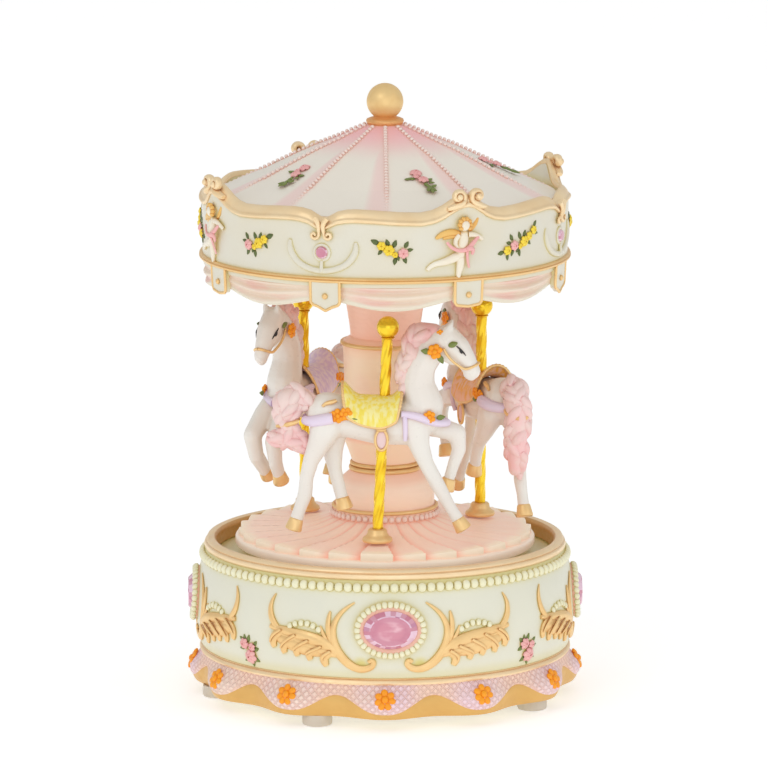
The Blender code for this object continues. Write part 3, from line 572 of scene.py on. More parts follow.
# Painted reflections: facets lighter or darker by their random tone, and the table lighter in its middle.
depth = stone_paint.tone()
cloud = stone_paint.mix(stone_paint.span(stone_paint.noise(210, 2, (1, 1, 2)), 0.38, 0.62),
                        tint(214, 136, 156), tint(236, 184, 196))
above = stone_paint.sums("SUBTRACT", stone_paint.polar()[2], STONE_Z * MM)
from_middle = flat_length(stone_paint, stone_paint.sums("MULTIPLY", from_side(stone_paint), 53 / 7.3),
                          stone_paint.sums("MULTIPLY", above, 1 / (5.3 * MM)))
stone_colour = stone_paint.mix(stone_paint.span(from_middle, 0.36, 0.58, 0, 0.8), cloud, tint(202, 122, 146))
stone_colour = stone_paint.mix(stone_paint.span(depth, 0.48, 0.3), stone_colour, tint(238, 202, 222))
stone_paint.colour(stone_paint.mix(stone_paint.span(depth, 0.14, 0.0), stone_colour, tint(198, 130, 160)))
stone_paint.shader.inputs["Specular IOR Level"].default_value = 0.8
stone_paint.bump(stone_paint.noise(90, 1), 0.02 * MM, 0.3)


def cut_stone(name, width, height, facets, rise):
    """An oval stone with its back at the origin, facing the front."""
    bpy.ops.object.select_all(action="DESELECT")
    bpy.ops.mesh.primitive_circle_add(vertices=facets, radius=0.5 * MM, fill_type="NGON",
                                      rotation=(math.pi / 2, 0, 0))
    piece = named(name)
    piece.data.transform(Matrix.Diagonal((width, 1, height, 1)))
    bpy.ops.object.mode_set(mode="EDIT")
    bpy.ops.mesh.select_all(action="SELECT")
    for lift, share in ((0.25, 1.0), (0.45, 0.8), (0.1, 0.93)):
        bpy.ops.mesh.extrude_region_move(TRANSFORM_OT_translate={"value": (0, -lift * rise * MM, 0)})
        bpy.ops.transform.resize(value=(share, 1, share))
    bpy.ops.mesh.poke(offset=0.04 * rise * MM)
    bpy.ops.mesh.select_all(action="SELECT")
    bpy.ops.mesh.normals_make_consistent(inside=False)
    bpy.ops.object.mode_set(mode="OBJECT")
    tone = piece.data.attributes.new("tone", "FLOAT", "FACE")
    chance = random.Random(facets)
    for face, mark in zip(piece.data.polygons, tone.data):
        across = math.hypot(face.center.x / (width * MM / 2), face.center.z / (height * MM / 2))
        # Random light and dark facets, for painted reflections; the table keeps one tone.
        mark.value = 0.7 if across < 0.62 else chance.choice((0.02, 0.25, 0.3, 0.35, 0.42, 0.55))
    return piece


def oval(count, width, height):
    """Points spaced evenly along an oval, as (x, z) in mm."""
    turns = np.linspace(0, 2 * math.pi, 721)
    x, z = width / 2 * np.cos(turns), height / 2 * np.sin(turns)
    length = np.concatenate([[0], np.cumsum(np.hypot(np.diff(x), np.diff(z)))])
    wanted = np.linspace(0, length[-1], count, endpoint=False)
    return list(zip(np.interp(wanted, length, x), np.interp(wanted, length, z)))


for side, bearing in zip(("front", "right", "back", "left"), SIDES):
    stone = cut_stone(f"stone_{side}", 14.6, 10.6, 28, 2.5)
    stone.data.transform(around(bearing, 52.4, STONE_Z))
    done(stone, stone_paint, "base", "pink_gem", f"base_gem_{side}", angle=1)

bead = ball("frame_pearl", (1.9, 1.8, 1.9), 10, 7)
frame_pearls = repeated(bead, [Matrix.Translation((x * MM, 0, z * MM)) for x, z in oval(32, 17.9, 13.7)],
                        "frame_pearls")
bed_points = oval(40, 16.2, 12.0)
bed = strokes("stone_bed", [[(x, z, 2.7) for x, z in bed_points + bed_points[:3]]], 0.9, 3, 2)
frames, beds = [], []
for bearing in SIDES:
    frames.append(wrapped(twin_of(frame_pearls), bearing, STONE_Z, lambda z: drum_radius(z) + 1.05))
    beds.append(wrapped(twin_of(bed), bearing, STONE_Z, lambda z: drum_radius(z) + 0.15))
bpy.data.objects.remove(frame_pearls)
bpy.data.objects.remove(bed)
done(merged(frames, "stone_pearls"), pearl_cream, "base", "cream_resin", angle=80)
done(merged(beds, "stone_beds"), salmon, "base", "cream_resin")

# %% [markdown]
# ## Acanthus scrolls
# Gold scrolls spread from under each stone. The whole leaf is a bundle of tapered strokes: a stem that
# curls like a C, a body with drooping lobes, a tall horn, and a short spray. Strokes are drawn once for
# the left side, mirrored for the right, and wrapped on the drum.

# %% Scrolls on the drum
scroll_lines = [
    [(-9.2, 7.2, 0.35), (-11.9, 5.5, 0.9), (-14.1, 3.0, 1.3), (-15.2, -0.4, 1.7), (-14.7, -4.2, 2.2),
     (-12.9, -7.6, 2.5),
     (-10.3, -10.2, 2.3), (-7.4, -11.3, 2.0), (-4.9, -10.6, 1.8), (-4.0, -9.0, 1.5), (-4.9, -8.2, 1.3),
     (-5.6, -9.0, 1.1)],
    [(-12.6, -7.4, 1.6), (-15.6, -4.9, 3.6), (-19.6, -3.2, 3.6), (-24.0, -2.3, 2.9), (-28.4, -1.6, 2.4),
     (-33.0, -0.9, 1.2)],
    [(-13.2, -7.2, 1.6), (-16.5, -6.6, 2.6), (-20.5, -5.2, 2.4), (-25.0, -3.8, 2.0), (-29.5, -2.6, 1.2)],
    [(-30.2, -1.6, 1.4), (-32.2, 0.2, 2.1), (-33.2, 3.0, 1.5), (-32.8, 5.8, 1.0), (-31.2, 7.9, 0.3)],
    [(-15.2, -4.0, 1.4), (-16.6, -0.6, 1.7), (-16.3, 2.4, 1.5), (-15.6, 4.6, 0.5)],
    [(-15.6, -4.6, 1.2), (-17.6, -2.2, 1.4), (-18.3, 0.5, 0.5)],
    [(-16.0, -4.9, 1.0), (-18.0, -3.4, 1.1), (-19.4, -1.7, 0.4)],
]
for top_x, top_z, tip_x, tip_z in ((-29.4, -2.2, -32.6, -6.7), (-25.2, -3.2, -29.4, -8.0),
                                   (-21.6, -4.4, -25.6, -8.4),
                                   (-18.0, -5.8, -22.0, -9.2), (-15.6, -7.0, -17.6, -10.6)):
    bend_x, bend_z = (top_x + tip_x) / 2 - 0.9, (top_z + tip_z) / 2 + 0.9
    scroll_lines.append([(top_x + 0.9, top_z + 0.8, 1.6), (top_x - 0.9, top_z - 0.2, 2.5),
                         (bend_x, bend_z, 2.5),
                         (tip_x + 0.3, tip_z + 1.4, 2.3), (tip_x + 1.0, tip_z + 0.1, 1.5)])
    scroll_lines.append([(top_x + 0.2, top_z + 0.9, 0.7, 1.3), (top_x - 1.2, top_z, 0.9, 1.5),
                         (bend_x - 0.3, bend_z + 0.2, 0.8, 1.4),
                         (tip_x, tip_z + 1.6, 0.5, 1.0)])
scroll_lines.append([(-17.0, -7.0, 2.0, -0.3), (-20.0, -6.4, 4.6, -0.4), (-25.0, -5.2, 5.2, -0.5),
                     (-29.5, -4.0, 4.4, -0.4), (-32.0, -3.4, 2.0, -0.4)])
WIDEN = 1.045
scroll = strokes("scroll",
                 [[(mark[0] * WIDEN, mark[1], mark[2],
                    mark[3] if len(mark) > 3 else 0.25) for mark in one] for one in scroll_lines], 0.62, 3)
mirror = Matrix.Scale(-1, 4, (1, 0, 0))
scrolls = []
for bearing in SIDES:
    for flip in (Matrix.Identity(4), mirror):
        scrolls.append(wrapped(twin_of(scroll, flip), bearing, STONE_Z, drum_radius))
bpy.data.objects.remove(scroll)
done(merged(scrolls, "drum_scrolls"), gold, "base", "gilt")

bead = ball("leaf_pearl", (1.8, 1.4, 1.8))
row = [(-26.6, 0.5), (-24.8, 0.85), (-23.0, 0.85), (-21.3, 0.35), (-19.7, -0.5), (-28.2, -0.2)]
spots = [Matrix.Translation((side * x * MM, 0, z * MM)) for side in (1, -1) for x, z in row]
leaf_pearls = repeated(bead, spots, "leaf_pearls")
done(merged([wrapped(twin_of(leaf_pearls), bearing, STONE_Z, lambda z: drum_radius(z) + 0.2)
             for bearing in SIDES], "scroll_pearls"), pearl_cream, "base", "cream_resin", angle=80)
bpy.data.objects.remove(leaf_pearls)
print("scroll strokes:", len(scroll_lines), "on each of eight leaves")

# %% [markdown]
# ## Roses
# Small roses with green leaves are stuck on the drum and all over the canopy. A rose is a bead for the
# heart with petals curled round it in two rings, each petal a flattened bead tipped outwards. A leaf is
# a pointed bead. Sprays place them by a short list: kind, x, z, size and turn.

# %% Roses and leaves
def rose(name="rose"):
    parts = [ball("heart", (0.9, 1.1, 0.9), 8, 5)]
    for ring, (count, reach, tip,
               size) in enumerate(((4, 0.5, 30, (1.0, 0.5, 1.1)), (6, 1.0, 58, (1.25, 0.5, 1.3)))):
        for number in range(count):
            petal = ball("petal", size, 8, 5)
            lean = Matrix.Rotation(math.radians(tip - 90), 4, "X")
            turn = Matrix.Rotation(math.radians(360 * number / count + 25 * ring), 4, "Y")
            petal.data.transform(turn @ Matrix.Translation((0, (0.1 * ring - 0.25) * MM, reach * MM)) @ lean)
            parts.append(petal)
    return merged(parts, name)


def leaf(name="leaf"):
    """A pointed leaf, its foot at the origin, growing upwards, with a fold along its middle."""
    piece = ball(name, (1.5, 0.55, 2.4), 8, 6)

    def point_it(p):
        share = p.z / (1.2 * MM)
        return Vector((p.x * (1 - 0.55 * max(0.0, share)), p.y + 0.25 * abs(p.x), p.z + 1.0 * MM))
    return reshape(piece, point_it)


rose_model, leaf_model = rose(), leaf()
flower_model = blossom("small_flower", 6, (1.5, 0.9, 1.6), 1.0, (1.3, 1.2, 1.3), 12, 7)


def spray(marks, place_on, lists):
    """Adds pink roses (r), yellow roses (y) and leaves (l) from marks of (kind, x, z, size, turn)."""
    models = {"r": rose_model, "y": rose_model, "l": leaf_model}
    blooms = [Vector((x, z)) for kind, x, z, size, turn in marks if kind != "l"]
    for kind, x, z, size, turn in marks:
        if kind == "l":
            nearest = min(blooms, key=lambda bloom: (bloom - Vector((x, z))).length)
            x, z = nearest.lerp(Vector((x, z)), 0.66)
        lift, scale = (-0.15, 0.7 * size) if kind == "l" else (-0.5, size)
        place = Matrix.Translation((x * MM, lift * MM, z * MM)) @ Matrix.Rotation(math.radians(turn), 4, "Y")
        lists[kind].append(place_on(twin_of(models[kind], place @ Matrix.Scale(scale, 4))))


drum_sprig = [("r", 0.5, -10.6, 1.35, 20), ("r", -1.5, -7.2, 1.05, 70), ("r", 1.3, -7.8, 0.8, 40),
              ("l", 1.9, -11.2, 1.4, 110),
              ("l", 0.6, -12.0, 1.3, 170), ("l", -0.9, -11.4, 1.4, -120), ("l", -1.9, -8.6, 1.4, -110),
              ("l", 2.1, -9.0, 1.2, 70),
              ("l", -2.3, -6.4, 1.2, -50), ("l", 0.2, -6.0, 1.3, 20), ("l", -1.4, -5.8, 1.1, -10),
              ("l", 2.2, -7.0, 1.1, 40)]
kinds = {"r": [], "y": [], "l": []}
for bearing in (48, 138, 228, 315):
    spray(drum_sprig, lambda piece, at=bearing: wrapped(piece, at, STONE_Z, drum_radius), kinds)
done(merged(kinds["r"], "drum_roses"), rose_pink, "base", "cream_resin", angle=80)
done(merged(kinds["l"], "drum_leaves"), leaf_green, "base", "cream_resin", angle=80)

# %% [markdown]
# ## Feet and underside
# Clear bumpers lift the base, so that fingers reach the key. They are soft plastic, so light goes in
# and comes out scattered. The bottom plate, its screws and the clockwork keep their own shapes, and only
# get better finishes.

# %% Feet
bumper_paint = Finish("bumper_plastic", 0.38)
bumper_paint.shader.inputs["Transmission Weight"].default_value = 0.25
bumper_paint.colour(bumper_paint.mix(bumper_paint.noise(300, 2), tint(238, 228, 212), tint(226, 214, 196)))
bumper_paint.bump(bumper_paint.noise(1800), 0.05 * MM, 0.5)
for number in range(1, 6):
    low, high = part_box(f"foot_{number}")
    middle, wide = (low + high) / 2, (high.x - low.x) / 2 / MM
    tall = high.z / MM
    foot = turned(f"bumper_{number}",
                  [(0.05, 0.0), (wide - 0.7, 0.0), (wide - 0.25, 0.15), (wide - 0.02, 0.6), (wide, 1.4),
                                       (wide - 0.1, tall + 0.1), (0.05, tall + 0.1)], 48)
    foot.data.transform(Matrix.Translation((middle.x, middle.y, 0)))
    done(foot, bumper_paint, "base", "clear_foot", f"foot_{number}")

# %% [markdown]
# ## Platform
# The turning platform is a disc with a fan of 28 petals. The petals mirror each other about one petal
# near the front. Going away from it, each petal rises and reaches out, and then drops to the next.
# One rule gives both the height and the edge, from how far along its petal a point lies.

# %% Platform and petals
PETALS = 28
FAN_FRONT = math.radians(-3.4)
PITCH = 2 * math.pi / PETALS


def along_petal(bearing, radius):
    """How far along its petal a point lies, 0 in the notch to 1 at the raised corner."""
    away = abs((bearing - FAN_FRONT + math.pi) % (2 * math.pi) - math.pi)
    bend = 0.16 * max(0.0, 1 - radius / 40.4) ** 1.3
    place = (away + bend) / PITCH + 0.5
    return 1.0 if away < PITCH / 2 and place < 1 else place % 1


disc = turned("platform_disc",
              [(2.3, 41.5), (41.0, 41.8), (41.3, 42.2), (41.3, 43.7), (41.0, 44.1), (40.2, 44.3),
               (2.3, 44.3)])
fan_outline = [(13.4, 49.7), (15.2, 49.5), (17, 48.8), (20, 47.8), (23.5, 47.1), (27, 46.7), (31, 46.5),
               (34, 46.4), (37, 46.3),
               (39.4, 46.2), (40.2, 46.05), (40.4, 45.7), (40.45, 44.9), (40.45, 44.0), (14.5, 44.0)]
fan = turned("platform_fan", fan_outline, PETALS * 26)
tone = fan.data.attributes.new("tone", "FLOAT", "POINT")
for corner, mark in zip(fan.data.vertices, tone.data):
    spot = corner.co
    radius, bearing = math.hypot(spot.x, spot.y) / MM, math.atan2(spot.x, -spot.y)
    share = along_petal(bearing, radius)
    # The tone is 1 in each petal's notch, where the finish paints pink shade.
    mark.value = (1 - share) ** 1.6
    if radius > 15:
        spread = min(1.0, (radius - 14.5) / 14)
        if spot.z > 44.5 * MM:
            spot.z += spread * (1.0 * share - 0.7) * MM
        if radius > 36:
            pull = 1 - (2.1 * (1 - share) ** 1.3 if radius > 39 else 0.7 * (1 - share)) / radius
            spot.x, spot.y = spot.x * pull, spot.y * pull
fan_paint = Finish("fan_paint", 0.42, coat=0.12)
out_here, bearing_here = fan_paint.polar()[:2]
# Painted pink shade in each petal's notch.
notch = fan_paint.span(fan_paint.tone(), 0.35, 1.0)
warm = fan_paint.mix(fan_paint.noise(90, 2), tint(250, 226, 206), tint(248, 210, 194))
warm = fan_paint.mix(fan_paint.span(out_here, 36 * MM, 40 * MM, 0, 0.8), warm, tint(246, 232, 206))
warm = fan_paint.mix(fan_paint.sums("MULTIPLY", notch, 0.8), warm, tint(246, 178, 158))
# Painted shade darkens the creases.
fan_paint.colour(fan_paint.crease_shaded(warm, tint(242, 184, 158), 1.5 * MM, 0.4))
ripple = fan_paint.sums("SINE", fan_paint.sums("MULTIPLY", bearing_here, 3 * PETALS))
fan_paint.bump(fan_paint.sums("ADD", ripple, fan_paint.noise(600)), 0.05 * MM, 0.5).rough(0.36, 0.5)
# A painted glow lifts the fan as if it were better lit.
fan_paint.glow(0.14)
blush = painted("blush_paint", tint(246, 230, 210), tint(244, 214, 196), tint(242, 192, 168), 2.0 * MM)
# A painted glow lifts the disc as if it were better lit.
blush.glow(0.14)
done(disc, blush, "carousel", "blush_resin", "platform")
done(fan, fan_paint, "carousel", "blush_resin", angle=28)
print("petals in the fan:", PETALS)

# %% [markdown]
# ## Column
# The column is turned in one piece: a basket, a waist, a drum and a neck that widens into the canopy.
# Its colour runs from cream to salmon and back with height, so the finish reads the height and looks
# the colour up along a ramp. Four gold rings and a ring of pearls are set round it.

# %% Column
column = turned("column_body", [
    (14.5, 49.6), (14.4, 51.2), (13.7, 52.6), (13.6, 53.8), (13.65, 55.2), (13.4, 57.0), (12.7, 58.8),
    (11.6, 60.4),
    (9.8, 62.0), (8.9, 63.4), (8.9, 64.4), (9.6, 66.4), (10.4, 68.6), (11.2, 70.6), (11.5, 71.6),
    (11.3, 72.4), (11.25, 78),
    (11.25, 84), (11.3, 90), (11.4, 94), (11.7, 96.8), (11.75, 98.2), (10.5, 99.0), (9.5, 99.6), (9.7, 102),
    (10.3, 106),
    (10.9, 110), (11.5, 115), (11.9, 120), (12.0, 137), (3.0, 137), (3.0, 49.6)])
column_paint = Finish("column_paint", 0.4, coat=0.15)
level = column_paint.axes()[2]
run = column_paint.ramp(level, 50 * MM, 120 * MM, [
    (50 * MM, tint(244, 208, 192)), (120 * MM, tint(246, 212, 194)), (54 * MM, tint(244, 214, 188)),
    (59 * MM, tint(250, 228, 208)),
    (61.5 * MM, tint(248, 206, 184)), (65 * MM, tint(246, 218, 186)), (70.5 * MM, tint(248, 226, 194)),
    (72.5 * MM, tint(250, 170, 138)),
    (77 * MM, tint(250, 190, 160)), (83 * MM, tint(248, 224, 194)), (94 * MM, tint(248, 224, 194)),
    (97 * MM, tint(246, 210, 176)),
    (100 * MM, tint(248, 192, 168)), (108 * MM, tint(247, 212, 192))])
blots = column_paint.span(column_paint.noise(80, 2), 0.35, 0.7, 0, 0.4)
run = column_paint.mix(blots, run, tint(250, 208, 188))
# Painted shade darkens the creases.
column_paint.colour(column_paint.crease_shaded(run, tint(232, 166, 118), 1.4 * MM, 0.5))
lathe = column_paint.sums("SINE", column_paint.sums("MULTIPLY", level, 4200))
# A painted glow lifts the column as if it were better lit.
column_paint.glow(0.12)
column_paint.bump(column_paint.sums("ADD", lathe, column_paint.noise(500)), 0.045 * MM, 0.4).rough(0.34, 0.48)
done(column, column_paint, "carousel", "cream_resin", "column", angle=50)

ring_marks = [(14.15, 52.3, 0.55), (9.25, 62.9, 0.75), (9.05, 64.2, 0.65), (11.75, 97.8, 0.6)]
rings = []
for radius, z, thick in ring_marks:
    section = [(radius + thick * math.cos(turn),
                z + thick * math.sin(turn)) for turn in np.linspace(0, 2 * math.pi, 12, False)]
    rings.append(turned("column_ring", section, 96))
done(merged(rings, "column_rings"), gold, "carousel", "gilt", angle=70)

pearl_pink = painted("pearl_pink_paint", tint(252, 228, 216), tint(248, 214, 202), tint(236, 182, 168),
                     0.7 * MM, 0.32)
bead = ball("column_pearl", (1.75, 1.7, 1.8), 10, 7)
done(repeated(bead, [around(360 * i / 50, 14.5, 50.6) for i in range(50)], "column_pearls"), pearl_pink,
     "carousel", "cream_resin", angle=80)

# %% [markdown]
# ## Canopy wall
# The top edge of the canopy is a wave that repeats four times. It dips to a notch, swells to a crest,
# and sweeps up to a peak. Its height is kept as a list of marks, angle from the notch and height,
# and every ring of the wall and of the gold ribbon above it follows that list.

# %% Wall, ribbon and gold line
NOTCH = -19.6
PEAK = 25.4
WALL_FOOT = 122.2
LIP_BASE = 138.0
LIP_ANGLES = (0, 1.2, 2.6, 4.5, 7.5, 10.5, 16, 24, 31, 35, 38, 41, 43, 45)
LIP_HEIGHTS = (136.4, 136.6, 137.2, 138.1, 138.65, 138.8, 138.6, 138.1, 137.9, 138.5, 139.7, 141.4, 142.4,
               142.8)


def from_notch(bearing):
    """Angle in degrees, 0 to 45, from the nearest notch."""
    return abs((math.degrees(bearing) - NOTCH + 45) % 90 - 45)


def lip(bearing):
    return float(np.interp(from_notch(bearing), LIP_ANGLES, LIP_HEIGHTS))


def flare(bearing):
    return 1.7 * max(0.0, (from_notch(bearing) - 33) / 12) ** 2


def wall_radius(z):
    return 50.0 + 0.016 * (z - WALL_FOOT)


def crowned(name, outline, steps=720):
    """A turned wall whose upper edge, drawn at LIP_BASE, is lifted to the wave of the lip."""
    def rule(point):
        bearing = math.atan2(point.x, -point.y)
        radius, z = math.hypot(point.x, point.y) / MM, point.z / MM
        share = max(0.0, min(1.0, (z - WALL_FOOT) / (LIP_BASE - WALL_FOOT)))
        radius += flare(bearing) * share ** 3
        z += (lip(bearing) - LIP_BASE) * share
        return Vector((radius * math.sin(bearing), -radius * math.cos(bearing), z)) * MM
    return reshape(turned(name, outline, steps), rule)


heights = [WALL_FOOT + (LIP_BASE - WALL_FOOT) * i / 12 for i in range(13)]
wall = crowned("canopy_wall",
               [(wall_radius(z), z) for z in heights] + [(48.6, 139.2), (47.5, 139.4), (47.2, 134),
                                                         (47.0, 128),
                                                                       (46.9, 122.2), (46.9, 120.6),
                                                                       (49.8, 120.6)])
ribbon = crowned("canopy_ribbon",
                 [(49.9, 137.5), (50.35, 137.4), (50.75, 137.6), (50.95, 138.0), (50.8, 138.45),
                  (50.3, 138.6),
                                   (50.15, 139.0), (49.8, 139.7), (49.3, 140.3), (48.7, 140.7),
                                   (48.1, 140.8), (47.7, 140.5),
                                   (47.7, 139.0), (49.4, 138.4)])
gold_line = turned("canopy_line",
                   [(49.8, 121.7), (50.5, 121.75), (50.85, 122.0), (50.95, 122.35), (50.7, 122.6),
                    (50.9, 122.85),
                                   (50.7, 123.2), (49.8, 123.3)], 240)
canopy_cream = painted("canopy_cream_paint", tint(226, 222, 206), tint(226, 216, 190), tint(222, 208, 128),
                       2.6 * MM, 0.38)
ribbon_gold = gilded("ribbon_gold_paint", tint(250, 226, 184), tint(234, 192, 132), 0.42, 0.36)
done(wall, canopy_cream, "carousel", "cream_resin", "crown", angle=60)
done(ribbon, ribbon_gold, "carousel", "gilt", angle=60)
done(gold_line, gold, "carousel", "gilt", angle=60)
print("lip runs from", min(LIP_HEIGHTS), "to", max(LIP_HEIGHTS), "mm")

# %% [markdown]
# ## Volutes and peak scrolls
# Where two ribbons meet they curl. A small pair curls down and out at each notch, and a large pair curls
# up and out at each peak. One helper writes the points of a winding stroke, the right-hand one is
# a mirror of the left, and both are wrapped on the wall.

# %% Curled ends
def curl(x, z, radius, start, sweep, width, lead=()):
    """Marks of a stroke that winds in towards (x, z), after its leading marks."""
    marks = list(lead)
    for share in np.linspace(0, 1, 10):
        turn = math.radians(start + sweep * share)
        reach = radius * (1 - 0.8 * share)
        marks.append((x + reach * math.cos(turn), z + reach * math.sin(turn), width * (1 - 0.3 * share),
                      0.7 * share))
    return marks


volute = strokes("volute",
                 [curl(-1.95, -1.0, 1.35, 30, -420, 1.0,
                       [(-1.6, 3.6, 1.6, 0.3), (-0.6, 2.4, 1.5, 0.6), (-0.5, 0.8, 1.2, 0.6)])], 0.9, 3)
peak_curl = strokes("peak_curl", [
    curl(-2.75, 2.3, 2.0, -40, 440, 1.7,
         [(-5.6, -0.9, 1.2, -0.2), (-3.8, -0.5, 1.9, 0.3), (-1.6, 0.7, 1.9, 0.6)])], 1.5, 3)
eye = ball("peak_eye", (1.8, 1.7, 1.8))
eye.data.transform(Matrix.Translation((-2.75 * MM, -1.4 * MM, 2.3 * MM)))
peak_curl = merged([peak_curl, eye], "peak_curl")
curls = []
for quarter in range(4):
    for flip in (Matrix.Identity(4), mirror):
        curls.append(wrapped(twin_of(volute, flip), NOTCH + 90 * quarter, 135.6,
                             lambda z: wall_radius(z) + 0.4))
        curls.append(wrapped(twin_of(peak_curl, flip), PEAK + 90 * quarter, 142.6,
                             lambda z: wall_radius(z) + 0.9))
bpy.data.objects.remove(volute)
bpy.data.objects.remove(peak_curl)
done(merged(curls, "canopy_curls"), ribbon_gold, "carousel", "gilt", angle=60)

# %% [markdown]
# ## Swags and tabs
# Eight draped swags hang below the gold line, each between two tabs. A swag is part of one wall that runs
# all the way round: its lower edge hangs in eight curves and its folds follow them. The tabs are little
# shields, cut from a circle of points, extruded, and outlined with a gold stroke.

# %% Swags
TAB_STEP = 45


def swag_share(bearing):
    """0 at a tab, 1 half-way between two tabs."""
    return 0.5 - 0.5 * math.cos(8 * (bearing - math.radians(PEAK)))


def swag_rule(bearing, share):
    middle = swag_share(bearing) ** 0.7
    foot = 117.0 - 3.0 * middle
    z = foot + (122.0 - foot) * share
    fold = math.cos(2 * math.pi * 3.2 * (1 - share) ** 0.85 + 0.8)
    return 48.9 + 0.55 * math.sin(math.pi * share) + 0.6 * middle * fold - 0.5 * (1 - share), z


swag = sheet_round("canopy_swags", 576, 26, swag_rule, 1.6)
swag_paint = Finish("swag_paint", 0.44, coat=0.1)
bearing_here, height_here = swag_paint.polar()[1:]
between = swag_paint.sums("COSINE",
                          swag_paint.sums("MULTIPLY",
                                          swag_paint.sums("SUBTRACT", bearing_here, math.radians(PEAK)), 8))
streak = swag_paint.span(swag_paint.noise(60, 3, (1, 1, 6)), 0.42, 0.62)
pink_share = swag_paint.sums("MULTIPLY", streak, swag_paint.span(between, 0.9, -0.6, 0.15, 0.95))
cloth = swag_paint.mix(pink_share, tint(238, 222, 202), tint(240, 202, 190))
hem_share = swag_paint.sums("ADD", height_here, swag_paint.sums("MULTIPLY", between, -1.5 * MM))
cloth = swag_paint.mix(swag_paint.span(hem_share, 116.9 * MM, 116.0 * MM), cloth, tint(232, 224, 204))
# Painted shade darkens the creases of the folds.
cloth = swag_paint.crease_shaded(cloth, tint(232, 186, 160), 1.6 * MM, 0.5)
swag_paint.colour(cloth).bump(swag_paint.noise(420), 0.06 * MM, 0.5).rough(0.38, 0.52)
done(swag, swag_paint, "carousel", "blush_resin", angle=60)


# %% Tabs
def shield(name, edge, thick):
    """A plate facing the front, its edge given as points of (x, z) in mm."""
    bpy.ops.object.select_all(action="DESELECT")
    bpy.ops.mesh.primitive_circle_add(vertices=len(edge), radius=MM, fill_type="NGON")
    piece = named(name)
    for corner, (x, z) in zip(piece.data.vertices, edge):
        corner.co = Vector((x, 0, z)) * MM
    bpy.ops.object.mode_set(mode="EDIT")
    bpy.ops.mesh.select_all(action="SELECT")
    bpy.ops.mesh.extrude_region_move(TRANSFORM_OT_translate={"value": (0, -thick * MM, 0)})
    bpy.ops.mesh.select_all(action="SELECT")
    bpy.ops.mesh.normals_make_consistent(inside=False)
    bpy.ops.object.mode_set(mode="OBJECT")
    return piece


pointed = [(-4.1, 0.6), (-4.1, -5.4), (-3.5, -6.1), (-2.0, -6.6), (0, -7.7), (2.0, -6.6), (3.5, -6.1),
           (4.1, -5.4), (4.1, 0.6)]
square = [(-4.1, 0.6), (-4.0, -5.6), (-3.4, -6.4), (0, -6.9), (3.4, -6.4), (4.0, -5.6), (4.1, 0.6)]
plates, trims = [], []
for number in range(8):
    edge = square if number % 2 == 0 else pointed
    plate = shield("tab", edge, 1.6)
    trim = strokes("tab_trim", [[(x, z, 0.85) for x, z in edge for _ in range(2)]], 0.9, 2, 2)
    trim.data.transform(Matrix.Translation((0, -1.5 * MM, 0)))
    knob = ball("tab_knob", (1.6, 1.3, 1.6), 12, 8)
    knob.data.transform(Matrix.Translation((0, -1.8 * MM, -3.7 * MM)))
    place = around(PEAK + 1 + TAB_STEP * number, 48.9, 121.9, 3)
    for piece in (plate, trim, knob):
        piece.data.transform(place)
    plates.append(plate)
    trims += [trim, knob]
done(merged(plates, "canopy_tabs"), canopy_cream, "carousel", "cream_resin")
done(merged(trims, "tab_trims"), gold, "carousel", "gilt", angle=60)

# %% [markdown]
# ## Reliefs on the canopy
# Under every notch there is a cream crescent with a round pink stone, and on both sides of it a garland
# of roses. Under every peak a cherub leans out, modelled from a few thick strokes: a body, arms
# and legs, wings and hair in orange gold, and a pink ribbon.

# %% Crescents, stones and garlands
crescent = strokes("crescent", [
    [(-9.3, 4.9, 0.9), (-9.7, 3.2, 2.0), (-8.6, 0.4, 2.0), (-5.6, -2.2, 1.8), (0, -3.5, 1.8),
     (5.6, -2.2, 1.8), (8.6, 0.4, 2.0), (9.7, 3.2, 2.0), (9.3, 4.9, 0.9)],
    [(0, -3.3, 1.3, 0.4), (0, -1.8, 1.1, 0.4), (0, -0.4, 1.0, 0.2)]], 0.8, 3)
collar_points = oval(20, 4.2, 4.2)
stone_collar = strokes("stone_collar", [[(x, z + 1.9, 1.0) for x, z in collar_points + collar_points[:3]]],
                       0.8, 3, 2)
crescent = merged([crescent, stone_collar], "crescent")
crescents = [wrapped(twin_of(crescent), NOTCH + 90 * n, 128,
                     lambda z: wall_radius(z) + 0.1) for n in range(4)]
bpy.data.objects.remove(crescent)
done(merged(crescents, "canopy_crescents"), canopy_cream, "carousel", "cream_resin", angle=60)
for number in range(4):
    stone = cut_stone(f"canopy_stone_{number + 1}", 3.5, 3.5, 12, 1.3)
    stone.data.transform(around(NOTCH + 90 * number, 50.1, 129.9))
    done(stone, stone_paint, "carousel", "pink_gem", f"crown_gem_{number + 1}", angle=1)

garland = [("r", -3.1, -0.5, 0.95, 30), ("y", 0.7, 0.3, 1.0, 0), ("y", 2.7, 1.5, 0.8, 50),
           ("l", -3.8, 1.9, 1.2, -30), ("l", -3.4, -2.2, 1.2, -160),
           ("l", -1.1, -2.4, 1.2, 170), ("l", -1.5, -0.6, 1.3, 200), ("l", -1.2, 1.7, 1.3, -20),
           ("l", 0.9, 2.2, 1.2, 20), ("l", 3.9, 2.4, 1.5, 65),
           ("l", -4.9, 0.6, 1.0, -80), ("l", 2.6, -0.4, 1.0, 140), ("y", -0.9, -0.9, 0.55, 10)]
long_garland = garland + [("y", -5.6, -1.6, 0.85, 0), ("l", -7.4, -2.2, 1.3, -100),
                          ("l", -5.2, -3.2, 1.1, 180), ("y", 4.6, 2.9, 0.8, 20),
                          ("l", 5.4, 4.2, 1.2, 30), ("l", 5.6, 2.0, 1.1, 110)]
kinds = {"r": [], "y": [], "l": []}
